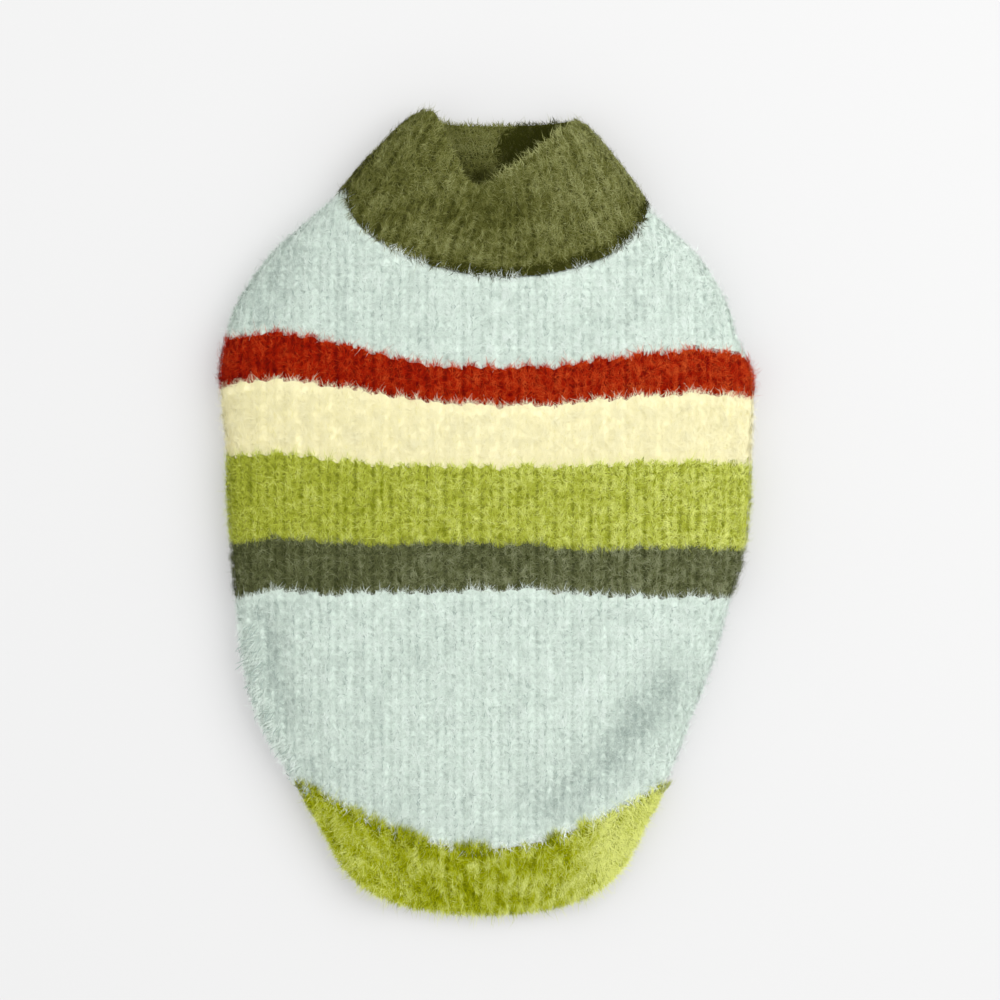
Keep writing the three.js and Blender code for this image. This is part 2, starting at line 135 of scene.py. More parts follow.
# Noise on both sides of zero
def wobble(tree, amount, scale, detail, distortion=0):
    place = addNode(tree, "TexCoord").outputs["Object"]
    noise = addNode(tree, "TexNoise", {"Vector": place, "Scale": scale, "Detail": detail, "Distortion": distortion})
    return mathNode(tree, "MULTIPLY", mathNode(tree, "SUBTRACT", noise.outputs["Fac"], 0.5), amount)


def newGroup(name, inputs, outputs):
    group = bpy.data.node_groups.new(name, "ShaderNodeTree")
    for label, kind, value in inputs:
        socket = group.interface.new_socket(name=label, in_out="INPUT", socket_type="NodeSocket" + kind)
        if value is not None:
            socket.default_value = value
    for label, kind in outputs:
        group.interface.new_socket(name=label, in_out="OUTPUT", socket_type="NodeSocket" + kind)
    return group, group.nodes.new("NodeGroupInput"), group.nodes.new("NodeGroupOutput")


# Colour of one plush fibre, from its own tone and how far up the fibre a point is, darker toward the root as painted
# shade within the pile and lighter toward the tip as painted light
fibreTone, fibreIn, fibreOut = newGroup(
    "fibreTone",
    [
        ("Shade", "Color", (0.2, 0.2, 0.2, 1)), ("Body", "Color", (0.5, 0.5, 0.5, 1)),
        ("Light", "Color", (0.8, 0.8, 0.8, 1)), ("Tone", "Float", 0.5), ("Reach", "Float", 0.5),
        ("Patchiness", "Float", 0.25),
    ],
    [("Color", "Color")],
)
patch = wobble(fibreTone, fibreIn.outputs["Patchiness"], 70, 3)
# Painted shade at the fibre's root and painted light at its tip
rootShadeTipLight = mathNode(fibreTone, "SUBTRACT", fibreIn.outputs["Reach"], 0.5)
rootShadeTipLight = mathNode(fibreTone, "MULTIPLY", rootShadeTipLight, 0.3)
toneSum = mathNode(fibreTone, "ADD", fibreIn.outputs["Tone"], patch)
toneSum = mathNode(fibreTone, "ADD", toneSum, rootShadeTipLight)
lowHalf = addNode(fibreTone, "MapRange", {"Value": toneSum, "From Max": 0.5}).outputs[0]
highHalf = addNode(fibreTone, "MapRange", {"Value": toneSum, "From Min": 0.5}).outputs[0]
darkToBody = mixColors(fibreTone, lowHalf, fibreIn.outputs["Shade"], fibreIn.outputs["Body"])
fullTone = mixColors(fibreTone, highHalf, darkToBody, fibreIn.outputs["Light"])
feed(fibreTone, fibreOut, {"Color": fullTone})

# Knitted ground under the pile: two columns of V stitches to a rib, with the gaps between them darker, as painted
# shade
knitGround, groundIn, groundOut = newGroup(
    "knitGround",
    [
        ("Yarn", "Color", (0.5, 0.5, 0.5, 1)), ("Gap", "Color", (0.1, 0.1, 0.1, 1)), ("Place", "Vector", None),
        ("Fuzz", "Float", 0.35),
    ],
    [("Color", "Color"), ("Height", "Float")],
)
placeParts = addNode(knitGround, "SeparateXYZ", {0: groundIn.outputs["Place"]})
column = mathNode(knitGround, "FRACT", mathNode(knitGround, "MULTIPLY", placeParts.outputs["X"], 2))
side = fromMiddle(knitGround, column)
slant = mathNode(knitGround, "MULTIPLY", side, 0.45)  # the arms of a V stitch
row = mathNode(knitGround, "FRACT", mathNode(knitGround, "ADD", placeParts.outputs["Y"], slant))
columnRound = mathNode(knitGround, "SUBTRACT", 1.0, mathNode(knitGround, "POWER", side, 2.5))
rowRound = mathNode(knitGround, "SUBTRACT", 1.0, mathNode(knitGround, "POWER", fromMiddle(knitGround, row), 2.0))
stitch = mathNode(knitGround, "MULTIPLY", columnRound, rowRound)
fuzz = wobble(knitGround, groundIn.outputs["Fuzz"], 900, 4, 1.2)
ground = mathNode(knitGround, "ADD", stitch, mathNode(knitGround, "MULTIPLY", fuzz, 2))
groundShare = addNode(knitGround, "Clamp", {0: ground}).outputs[0]
groundColor = mixColors(knitGround, groundShare, groundIn.outputs["Gap"], groundIn.outputs["Yarn"])
feed(knitGround, groundOut, {"Color": groundColor, "Height": ground})


def colorOf(tone, factor=1.0):
    red, green, blue = (min((value / 255) ** 2.2 * factor, 1.0) for value in tone)
    return (red, green, blue, 1.0)


# Yarns. Colours as seen (0 to 255): the dark between fibres as painted shade, the fibre and its light tip. Then the
# spread of tones, the tone of the ground and of its gaps as painted shade under the pile, how far each fibre shades by
# its own side, and the sheen
yarnKeys = ("shade", "body", "light", "spread", "ground", "gap", "relief", "sheen")
yarnRows = {
    "mint": ((158, 174, 166), (215, 228, 218), (238, 246, 241), 0.64, 1.0, 0.78, 0.07, 0.05),
    "red": ((104, 0, 0), (172, 36, 2), (202, 82, 38), 1.15, 0.65, 0.5, 0.16, 0.0),
    "ecru": ((230, 223, 166), (240, 234, 193), (250, 248, 218), 0.3, 1.0, 0.92, 0.03, 0.04),
    "lime": ((118, 128, 14), (182, 190, 68), (228, 234, 136), 1.0, 0.8, 0.5, 0.18, 0.03),
    "dark": ((54, 58, 30), (98, 103, 67), (146, 151, 116), 1.0, 0.65, 0.5, 0.16, 0.0),
    "olive": ((54, 56, 18), (102, 104, 53), (150, 153, 100), 1.0, 0.65, 0.5, 0.18, 0.0),
    "hemLime": ((108, 116, 0), (172, 180, 6), (222, 228, 130), 1.1, 0.75, 0.5, 0.2, 0.0),
}
yarns = {name: dict(zip(yarnKeys, row)) for name, row in yarnRows.items()}


def principled(name, sheen):
    material = bpy.data.materials.new(name)
    material.use_nodes = True
    tree = material.node_tree
    shader = tree.nodes["Principled BSDF"]
    feed(tree, shader, {"Roughness": 0.9, "Specular IOR Level": 0.08, "Sheen Weight": sheen, "Sheen Roughness": 0.6})
    return material, tree, shader


def fibreMaterial(name, yarn):
    material, tree, shader = principled(name, yarn["sheen"])
    tone = addNode(tree, "Group")
    tone.node_tree = fibreTone
    feed(tree, tone, {label.capitalize(): colorOf(yarn[label]) for label in ("shade", "body", "light")})
    for label in ("tone", "reach"):
        value = addNode(tree, "Attribute")
        value.attribute_name = label
        feed(tree, tone, {label.capitalize(): value.outputs["Fac"]})
    feed(tree, shader, {"Base Color": tone.outputs["Color"]})
    return material


def groundMaterial(name, yarn):
    material, tree, shader = principled(name, yarn["sheen"])
    place = addNode(tree, "UVMap")
    place.uv_map = "knit"
    knit = addNode(tree, "Group")
    knit.node_tree = knitGround
    # The ground and its stitch gaps take darker copies of the yarn, as painted shade under the pile
    gapColor = colorOf(yarn["body"], yarn["ground"] * yarn["gap"])
    feed(tree, knit, {"Yarn": colorOf(yarn["body"], yarn["ground"]), "Gap": gapColor, "Place": place.outputs["UV"]})
    bump = addNode(tree, "Bump", {"Strength": 1.0 - yarn["gap"], "Distance": 0.0008, "Height": knit.outputs["Height"]})
    feed(tree, shader, {"Base Color": knit.outputs["Color"], "Normal": bump.outputs["Normal"]})
    return material


fibreMaterials = {name: fibreMaterial(name + "Fibre", yarn) for name, yarn in yarns.items()}
groundMaterials = {name: groundMaterial(name + "Ground", yarn) for name, yarn in yarns.items()}
print("materials ready")

# The laid-out form in millimetres, in the same sizes as the solids
form = {
    "shift": (-0.043, -0.051), "cloth": 5.0, "seamGap": 0.45, "ribPitch": 6.8, "ribStart": -1.7, "rowPitch": 3.0,
    "archPower": 2.8, "foldReach": 11.0, "seamInset": 22.0, "straightSeam": 126.0, "widestY": 44.0,
}
# y, left fold, right fold, crown, nose
stations = np.array([
    (-142, -40, 40, 14, 6.5), (-123, -56.5, 54, 15.5, 7), (-108, -67.5, 65, 17.5, 8), (-93, -77.5, 71.5, 19.5, 9),
    (-74, -87.3, 78.7, 21.5, 9.6), (-55, -91.8, 86, 23, 10), (-37, -94.3, 91, 24, 10), (-18, -96.2, 96.8, 24.6, 10),
    (5, -98, 99.7, 25, 10), (27, -98.6, 100.2, 25.5, 10), (46, -100.6, 101.1, 26, 10), (54, -100.8, 100.3, 26.2, 10),
    (65, -98.8, 94.8, 26.5, 10), (76, -95.2, 91.5, 26.8, 10), (87, -88.7, 86.2, 27, 10), (98, -80.2, 78, 27, 10),
    (106, -71, 69.2, 27, 10), (113.5, -62.6, 62, 27, 10), (119, -56.2, 57, 27, 10), (134, -38, 38, 27, 10),
])
# from x, from y, to x, to y, width, depth
troughs = [
    (20, -112, 46, -93, 8, 1.6), (46, -93, 66, -66, 8, 2.2), (-84, -42, -76, -78, 6, 1.6), (-78, 96, -84, 76, 8, 1.4),
]
ridges = [
    (36, -72, 64, -42, 7, 0.7), (-62, -52, -54, -84, 6, 0.5), (-30, -96, -8, -84, 7, 0.4), (-66, 84, -72, 62, 6, 0.4),
]
neck = {"middle": 3.6, "half": 57.5, "cornerLeft": 119, "cornerRight": 113.5, "dropBack": 28.5, "dropBelly": 13}
hem = {"middle": -1.1, "half": 68.8, "corner": -101.5, "dropBack": 24.2, "riseBelly": 19}


def smoothStep(value, low, high):
    share = np.clip((value - low) / (high - low), 0, 1)
    return share * share * (3 - 2 * share)


def blend(first, second, share):
    return first * (1 - share) + second * share


def arch(u, power):
    return (1 - np.clip(np.abs(u), 0, 1) ** power) ** (1 / power)


# A smooth curve through one column of a table, against its first column
def through(table, place, column):
    keys = table[:, 0]
    place = np.clip(place, keys[0], keys[-1])
    i = np.clip(np.searchsorted(keys, place) - 1, 0, len(keys) - 2)
    before, after = np.maximum(i - 1, 0), np.minimum(i + 2, len(keys) - 1)
    span = keys[i + 1] - keys[i]
    share = (place - keys[i]) / span
    values = table[:, column]
    slopeA = (values[i + 1] - values[before]) / (keys[i + 1] - keys[before]) * span
    slopeB = (values[after] - values[i]) / (keys[after] - keys[i]) * span
    square, cube = share**2, share**3
    return (
        values[i] * (2 * cube - 3 * square + 1) + slopeA * (cube - 2 * square + share)
        + values[i + 1] * (3 * square - 2 * cube) + slopeB * (cube - square)
    )


# Turn 0 to 1 runs from the crown to a fold's nose, 1 to 2 round the fold, and more than 2 on the belly side
def byTurn(turn, top, fold, under):
    size = np.abs(turn)
    return np.where(size <= 1, top, np.where(size <= 2, fold, under))


def shareAndAngle(turn):
    size = np.abs(turn)
    return 1 - (1 - np.minimum(size, 1)) ** 3, (np.clip(size, 1, 2) - 1) * math.pi / 2


# The body's cross-section at a height on the garment
def sectionPoint(y, turn, depth):
    left, right, crown, nose = (through(stations, y, column) for column in (1, 2, 3, 4))
    middle, half = (left + right) / 2, (right - left) / 2
    u, angle = shareAndAngle(turn)
    foldX = half - depth - (form["foldReach"] - depth) * (1 - np.cos(angle))
    runX = half - form["foldReach"] - (np.abs(turn) - 2) * (form["seamInset"] - form["foldReach"])
    x = byTurn(turn, half * u - depth * u**3, foldX, runX)
    topZ = nose + (crown - depth - nose) * arch(u, form["archPower"])
    z = byTurn(turn, topZ, nose - (nose - depth) * np.sin(angle), depth)
    return middle + np.where(turn < 0, -x, x), z


# Turn of the section at each height and each length along the cloth from the crown, and where the section ends
alongGrid = np.arange(-132, 132.01, 0.5)
yGrid = np.arange(-142, 134.01, 1.0)
turnGrid = np.zeros((len(yGrid), len(alongGrid)))
endGrid = np.zeros((len(yGrid), 2))
turns = np.linspace(-3, 3, 145)
upperHalf = slice(48, 97)
for i, level in enumerate(yGrid):
    x, z = sectionPoint(np.full(len(turns), level), turns, 0)
    length = np.concatenate([[0], np.cumsum(np.hypot(np.diff(x), np.diff(z)))])
    length -= np.interp(0.0, x[upperHalf], length[upperHalf])
    turnGrid[i] = np.interp(alongGrid, length, turns)
    endGrid[i] = length[0], length[-1]


def turnOf(along, y):
    column = np.clip((along - alongGrid[0]) / 0.5, 0, len(alongGrid) - 1.001)
    row = np.clip(y - yGrid[0], 0, len(yGrid) - 1.001)
    i, j = row.astype(int), column.astype(int)
    down, over = row - i, column - j
    low = blend(turnGrid[i, j], turnGrid[i, j + 1], over)
    return blend(low, blend(turnGrid[i + 1, j], turnGrid[i + 1, j + 1], over), down)


# Depth of soft troughs along lines
def alongLines(lines, x, y):
    total = np.zeros_like(x)
    for fromX, fromY, toX, toY, width, depth in lines:
        dx, dy = toX - fromX, toY - fromY
        near = np.clip(((x - fromX) * dx + (y - fromY) * dy) / (dx * dx + dy * dy), 0, 1)
        away = np.hypot(x - fromX - dx * near, y - fromY - dy * near)
        total = np.maximum(total, depth * np.exp(-((away / width) ** 2)))
    return total


def troughDepth(x, y, turn):
    return (alongLines(troughs, x, y) - alongLines(ridges, x, y)) * (1 - smoothStep(np.abs(turn), 0.7, 1))


# A place on the cloth counted in ribs and rows
def knitPlaces(along, rise):
    return np.stack([(along - form["ribStart"]) / form["ribPitch"], rise / form["rowPitch"]], axis=-1)


# How full a rib is, from 0 in the groove between two ribs to 1
def ribFullness(along):
    phase = (along - form["ribStart"]) / form["ribPitch"]
    return np.abs(np.sin(np.pi * phase)) ** 0.6


# A point of the back's cloth: its length along the cloth from the crown, its height on the garment and its depth
def bodyPoint(along, y, depth):
    turn = turnOf(along, y)
    x, z = sectionPoint(y, turn, depth)
    plainX = sectionPoint(y, turn, 0)[0]
    return np.stack([x, y, z - troughDepth(plainX, y, turn)], axis=-1)


def neckSeam(x, onBack):
    u = (x - neck["middle"]) / neck["half"]
    corner = neck["cornerLeft"] + (neck["cornerRight"] - neck["cornerLeft"]) * np.clip((u + 1) / 2, 0, 1)
    return corner - np.where(onBack, neck["dropBack"], neck["dropBelly"]) * arch(u, 1.9)


def hemSeam(x, onBack):
    u = np.clip((x - hem["middle"]) / hem["half"], -1, 1)
    return hem["corner"] + np.where(onBack, -hem["dropBack"], hem["riseBelly"]) * np.cos(u * math.pi / 2)


def endsOf(y):
    left = np.maximum(np.interp(y, yGrid, endGrid[:, 0]), -form["straightSeam"])
    right = np.minimum(np.interp(y, yGrid, endGrid[:, 1]), form["straightSeam"])
    return left, right


def insideBack(along, y):
    left, right = endsOf(y)
    turn = turnOf(along, y)
    x = sectionPoint(y, turn, 0)[0]
    onBack = np.abs(turn) <= 1
    return (along >= left) & (along <= right) & (y < neckSeam(x, onBack)) & (y > hemSeam(x, onBack))


# The last place that passes a test on the way from inside to outside
def lastWhere(test, inside, outside):
    good, bad = inside.copy(), outside.copy()
    for _ in range(30):
        middle = (good + bad) / 2
        passed = test(middle)
        good, bad = np.where(passed, middle, good), np.where(passed, bad, middle)
    return good


spanAlong = np.linspace(-form["straightSeam"] + 0.02, form["straightSeam"] - 0.02, 505)
widest = np.full_like(spanAlong, form["widestY"])
spanLow = lastWhere(lambda y: insideBack(spanAlong, y), widest, np.full_like(spanAlong, -145))
spanHigh = lastWhere(lambda y: insideBack(spanAlong, y), widest, np.full_like(spanAlong, 132))


def spanAt(along):
    return np.interp(along, spanAlong, spanLow), np.interp(along, spanAlong, spanHigh)


# Mesh helpers. Points arrive in millimetres of the form's own frame
def toMetres(points):
    moved = np.array(points, float)
    moved[..., 0] += form["shift"][0]
    moved[..., 1] += form["shift"][1]
    return moved / 1000


def newMesh(name, points, faces, materials):
    mesh = bpy.data.meshes.new(name)
    mesh.vertices.add(len(points))
    mesh.vertices.foreach_set("co", np.ascontiguousarray(points, np.float32).ravel())
    mesh.loops.add(faces.size)
    mesh.loops.foreach_set("vertex_index", np.ascontiguousarray(faces, np.int32).ravel())
    mesh.polygons.add(len(faces))
    mesh.polygons.foreach_set("loop_start", np.arange(len(faces), dtype=np.int32) * faces.shape[1])
    mesh.polygons.foreach_set("use_smooth", np.ones(len(faces), bool))
    for material in materials:
        mesh.materials.append(material)
    mesh.update(calc_edges=True)
    return addObject(name, mesh)


def gridFaces(columns, rows, closed):
    j, i = np.meshgrid(np.arange(columns if closed else columns - 1), np.arange(rows - 1), indexing="ij")
    j, i = j.ravel(), i.ravel()
    nextJ = (j + 1) % columns
    return np.stack([j * rows + i, nextJ * rows + i, nextJ * rows + i + 1, j * rows + i + 1], axis=1)


def rimFaces(ring, count, closed):
    ring = np.asarray(ring)
    after = np.roll(ring, -1) if closed else ring[1:]
    ring = ring if closed else ring[:-1]
    return np.stack([after, ring, ring + count, after + count], axis=1)


# Where each face of a shell lies in the knit, in ribs and rows
def setKnitPlaces(piece, places, faces):
    piece.data.uv_layers.new(name="knit")
    piece.data.uv_layers["knit"].data.foreach_set("uv", places[faces.ravel()].astype(np.float32).ravel())


# Each face takes the yarn of the lowest stripe that it touches
def setBands(piece, bands, faces):
    yarnOf = bands[faces].max(axis=1) % len(bodyBands)
    piece.data.polygons.foreach_set("material_index", yarnOf.astype(np.int32))


# Outer skin, then inner skin, both shaped columns x rows x 3, closed by rims
def shell(name, outer, inner, places, closed, materials, bands=None):
    columns, rows = outer.shape[:2]
    count = columns * rows
    face = gridFaces(columns, rows, closed)
    index = np.arange(count).reshape(columns, rows)
    rims = [rimFaces(index[:, 0], count, closed), rimFaces(index[:, -1], count, closed)[:, ::-1]]
    if not closed:
        rims += [rimFaces(index[0], count, False)[:, ::-1], rimFaces(index[-1], count, False)]
    faces = np.concatenate([face, face[:, ::-1] + count, *rims])
    points = toMetres(np.concatenate([outer.reshape(-1, 3), inner.reshape(-1, 3)]))
    piece = newMesh(name, points, faces, materials)
    setKnitPlaces(piece, np.concatenate([places.reshape(-1, 2)] * 2), faces)
    if bands is not None:
        setBands(piece, np.concatenate([bands.reshape(-1)] * 2), faces)
    return piece


# The hairs' tone is lifted, as painted light on hairs that stand off the pile
hairs = {"share": 0.06, "width": 0.09, "tone": 0.25}  # long fine hairs among the fibres
neckward, hemward = math.pi / 2, -math.pi / 2  # headings on the cloth


# Random values that change smoothly over patches of the given size
def patchField(a, b, size, seed):
    source = np.random.default_rng(seed).random((160, 160))
    column, row = np.mod(a / size, 159), np.mod(b / size, 159)
    i, j = column.astype(int), row.astype(int)
    u, v = column - i, row - j
    u, v = u * u * (3 - 2 * u), v * v * (3 - 2 * v)
    low = blend(source[i, j], source[i + 1, j], u)
    return blend(low, blend(source[i, j + 1], source[i + 1, j + 1], u), v)


def unit(vectors):
    return vectors / np.maximum(np.linalg.norm(vectors, axis=-1, keepdims=True), 1e-9)


# Plush fibres as slim bent kites of two triangles. Across and up are the cloth's own directions at each root
def plantPile(name, roots, across, up, out, heading, length, lift, width, tone, yarn, slotName):
    count = len(roots)
    lean = across * np.cos(heading)[:, None] + up * np.sin(heading)[:, None]
    bend = random.normal(0, 0.25, count)
    middleLift, tipLift = lift + 0.25, lift - 0.1
    middleWay = lean * np.cos(middleLift)[:, None] + out * np.sin(middleLift)[:, None]
    middle = roots + middleWay * (length * 0.52)[:, None]
    beside = np.cross(out, lean)
    tipLean = unit(lean + beside * bend[:, None])
    tipWay = tipLean * np.cos(tipLift)[:, None] + out * np.sin(tipLift)[:, None]
    tip = roots + tipWay * length[:, None]
    roll = random.normal(0, 0.5, count)
    blade = beside * np.cos(roll)[:, None] + out * np.sin(roll)[:, None]
    half = blade * (width / 2)[:, None]
    points = np.stack([roots, middle - half, tip, middle + half], axis=1).reshape(-1, 3)
    points[:, 2] = np.maximum(points[:, 2], 0.06)  # nothing reaches under the surface it lies on
    start = np.arange(count)[:, None] * 4
    faces = np.stack([start + (0, 1, 3), start + (1, 2, 3)], axis=1).reshape(-1, 3)
    piece = newMesh(name, toMetres(points), faces, [fibreMaterials[yarn]])
    mesh = piece.data
    for label, values in (("tone", tone[:, (0, 1, 2, 1)].ravel()), ("reach", np.tile([0.0, 0.5, 1.0, 0.5], count))):
        mesh.attributes.new(label, "FLOAT", "POINT").data.foreach_set("value", values.astype(np.float32))
    faceOut = unit(np.cross(half, tip - roots) * -1)
    faceOut = np.where(np.sum(faceOut * out, axis=1, keepdims=True) < 0, -faceOut, faceOut)
    normals = unit(out + faceOut * yarns[yarn]["relief"])
    mesh.normals_split_custom_set_from_vertices(np.repeat(normals, 4, axis=0).astype(np.float32))
    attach(piece, "root")
    return piece


# Directions on a surface given by a function of two places
def surfaceFrame(point, a, b, step=0.4):
    across = unit(point(a + step, b) - point(a - step, b))
    up = unit(point(a, b + step) - point(a, b - step))
    out = unit(np.cross(across, up))
    return across, unit(np.cross(out, across)), out


# Fibres of one tuft point much the same way, and some follow the nap toward the neck
def tuftHeading(a, b, napShare, napSpread, seed):
    count = len(a)
    swirl = patchField(a, b, 2.7, seed) * 10 + random.normal(0, 0.42, count)
    return np.where(random.random(count) < napShare, random.normal(neckward, napSpread, count), swirl)


# Light and dark of the knit at a place: dark specks between stitches and soft lines between ribs, both painted shade,
# and tufts
def knitTone(a, b, ribShade, clump):
    a = a + 1.3 * (patchField(a, b, 6.0, 44) - 0.5)
    b = b + 4.5 * (patchField(a, b, 7.0, 45) - 0.5)
    column = (a - form["ribStart"]) / form["ribPitch"]
    toColumn = np.abs(column * 2 - np.round(column * 2)) * form["ribPitch"] / 2
    toRib = np.abs(column - np.round(column)) * form["ribPitch"]
    row = b / form["rowPitch"] + 0.5 * (np.floor(column * 2 + 0.5) % 2)
    toRow = np.abs(row - np.round(row)) * form["rowPitch"]
    # Painted shade in the gaps between stitches
    speckShade = np.exp(-((toColumn / 0.7) ** 2) - (toRow / 0.75) ** 2) * patchField(a, b, 3.1, 71) ** 2
    tuft = 0.30 * (patchField(a, b, 1.2, 3) - 0.5) + 0.22 * (patchField(a, b, 3.4, 33) - 0.5)
    streak = 0.24 * (patchField(a, b * 0.25, 1.1, 57) - 0.5) + 0.12 * (patchField(a * 0.3, b, 0.9, 58) - 0.5)
    clumps = clump * (patchField(a, b * 0.6, 1.7, 91) - 0.5)
    # Painted shade in the grooves between ribs and between stitch columns
    lines = ribShade * np.exp(-((toRib / 0.9) ** 2)) + 0.05 * np.exp(-((toColumn / 0.6) ** 2))
    return 0.06 + tuft + streak + clumps - 0.85 * speckShade - lines


# A fibre's tone at its root, middle and tip
def pileTone(a, b, heading, length, fullness, spread, ribShade=0.06, clump=0.0, mottle=0.11):
    ahead = length[:, None] * np.array([0, 0.45, 0.85])
    aheadA = a[:, None] + np.cos(heading)[:, None] * ahead
    aheadB = b[:, None] + np.sin(heading)[:, None] * ahead
    there = knitTone(aheadA, aheadB, ribShade, clump)
    # Its own random tone, and darker in the rib grooves as painted shade
    own = random.normal(0, mottle, len(a)) + 0.14 * (fullness - 0.78)
    return 0.5 + (there + own[:, None]) * np.reshape(spread, (-1, 1))


# Heights of the stripe borders at places across the back. Each yarn begins below its own
stripeX = np.array([-100, -92, -78, -60, -40, -20, 0, 20, 40, 60, 78, 92, 100])
stripeTops = {
    "red": [64.0, 65.0, 66.5, 63.8, 58.8, 54.2, 53.7, 53.6, 56.2, 58.8, 60.1, 58.7, 54.6],
    "ecru": [44.7, 48.4, 49.1, 47.1, 43.9, 40.9, 39.5, 39.2, 41.4, 43.2, 43.9, 42.9, 41.0],
    "lime": [20.6, 20.9, 21.5, 19.6, 17.2, 16.9, 16.5, 16.5, 17.2, 18.2, 18.3, 17.1, 16.1],
    "dark": [-12.4, -12.3, -10.6, -11.6, -13.0, -12.1, -12.4, -12.9, -15.0, -13.6, -14.2, -15.1, -15.8],
    "mint": [-32.4, -32.4, -29.8, -31.2, -30.2, -30.5, -29.4, -29.2, -31.2, -32.0, -32.3, -32.7, -32.0],
}
bodyBands = ["mint", "red", "ecru", "lime", "dark"]


# Height of each stripe border at a place, with a stitch's scallop
def stripeBorders(x, along, onBelly=False):
    scallop = (ribFullness(along) - 0.6) * 1.5 + (patchField(along, along * 0, 3.4, 5) - 0.5) * 1.5
    for tops in stripeTops.values():
        yield scallop + (np.interp(x, (-78, 78), (tops[2], tops[-3])) if onBelly else np.interp(x, stripeX, tops))


# Number of the stripe at a place, 0 on the yoke to 5 on the lower mint, and how far it is above the nearest border
def stripeAt(x, y, along, onBelly=False):
    number = np.zeros(np.shape(x), int)
    above = np.full(np.shape(x), 99.0)
    for border in stripeBorders(x, along, onBelly):
        number += y < border
        above = np.where(np.abs(y - border) < np.abs(above), y - border, above)
    return number, above


# Moves the grid row nearest to each stripe border onto it
def snapRows(ys, x, along, onBelly=False):
    for border in stripeBorders(x, along, onBelly):
        columns = np.flatnonzero((border.min(axis=1) > ys[:, 0] + 1) & (border.max(axis=1) < ys[:, -1] - 1))
        rows = np.argmin(np.abs(ys - border), axis=1)[columns]
        ys[columns, rows] = border[columns, rows] + 0.02


bandSpreads = np.array([yarns[name]["spread"] for name in bodyBands])


# One pile a stripe, from rows of roots, across, up, out, heading, length, lift, width and tone
def plantBands(names, stripe, fibres):
    piles = []
    for band, name in enumerate(names):
        pick = stripe == band
        ownRows = [values[pick] for values in fibres]
        piles.append(plantPile(name, *ownRows, bodyBands[band % len(bodyBands)], "body_knit"))
        print(name, int(pick.sum()), "fibres")
    return piles


# Back panel
backLook = {
    "columns": 186, "rows": 96, "groundDepth": 1.5, "grooveDepth": 0.9, "flat": (0.252, 0.245),
    "fibres": 262000, "pileAlong": 125.5, "pileY": (-126, 119), "edgeFree": 0.4, "underShare": 0.65,
    "fibreLength": 3.3, "fibreWidth": 0.17, "fineWidth": 0.6, "napShare": 0.35, "napSpread": 0.8,
    "borderReach": 2.4, "seamReach": 3.0, "fringeSpread": 0.6, "fuzzShare": 0.3, "fuzzLift": 0.45,
    "combedY": (-106, -40), "combedShare": 0.7, "combedHeading": -2.4, "strokeShare": 0.03, "strokeWidth": 0.42,
    "speckShare": 0.13, "speckWidth": 0.36, "onPile": 0.7,
}
along = np.linspace(spanAlong[0], spanAlong[-1], backLook["columns"])
share = np.linspace(0, 1, backLook["rows"])
low, high = spanAt(along)
alongs = np.repeat(along[:, None], backLook["rows"], axis=1)
ys = low[:, None] + (high - low)[:, None] * share[None, :]
snapRows(ys, sectionPoint(ys, turnOf(alongs, ys), backLook["groundDepth"])[0], alongs)
turns = turnOf(alongs, ys)
grooves = backLook["grooveDepth"] * (1 - ribFullness(alongs)) * (1 - smoothStep(np.abs(turns), 1.2, 1.8))
groundDepth = backLook["groundDepth"] + grooves
outer = bodyPoint(alongs, ys, groundDepth)
inner = bodyPoint(alongs, ys, np.full_like(alongs, form["cloth"]))
places = knitPlaces(alongs, ys)
bandNumber = stripeAt(outer[..., 0], ys, alongs)[0]
backShell = shell("backPanel", outer, inner, places, False, [groundMaterials[name] for name in bodyBands], bandNumber)
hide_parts("back_panel")
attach(backShell, "root")
print("back panel made")

# Its pile: fibres stand on the ribs, thin out in the grooves and lie in tufts by stitch
look = backLook
candidates = look["fibres"] * 2
along = random.uniform(-look["pileAlong"], look["pileAlong"], candidates)
y = random.uniform(*look["pileY"], candidates)
low, high = spanAt(along)
inSpan = (y > low + look["edgeFree"]) & (y < high - look["edgeFree"])
fullness = ribFullness(along)
turn = turnOf(along, y)
chance = (0.35 + 0.65 * fullness) * np.where(np.abs(turn) > 1.25, look["underShare"], 1.0)
chosen = np.flatnonzero(inSpan & (random.random(len(along)) < chance))[:look["fibres"]]
along, y, fullness, turn = along[chosen], y[chosen], fullness[chosen], turn[chosen]
rootDepth = look["groundDepth"] + look["grooveDepth"] * (1 - fullness) + 0.1
roots = bodyPoint(along, y, rootDepth)
across, up, out = surfaceFrame(lambda a, b: bodyPoint(a, b, np.full_like(a, look["groundDepth"])), along, y)
stripe, above = stripeAt(roots[:, 0], y, along)
number = len(along)
pale = np.isin(stripe, (0, 2, 5))
heading = tuftHeading(along, y, look["napShare"], look["napSpread"], 8)
length = look["fibreLength"] * random.uniform(0.6, 1.2, number) * (0.75 + 0.25 * fullness)
lift = random.uniform(0.15, 0.6, number) * np.where(pale, 0.75, 1)
fine = np.full(number, False)
# By a border they stand up away from it above, and lie up over it below, a few of them long and thin
byBorder = np.abs(above) < look["borderReach"]
heading = np.where(byBorder, random.normal(neckward, look["fringeSpread"], number), heading)
longOne = byBorder & (above < 0) & (random.random(number) < np.where(pale, 0.22, 0.12))
length = np.where(byBorder, length * np.where(longOne, 1.4, 0.8), length)
fine |= byBorder & pale
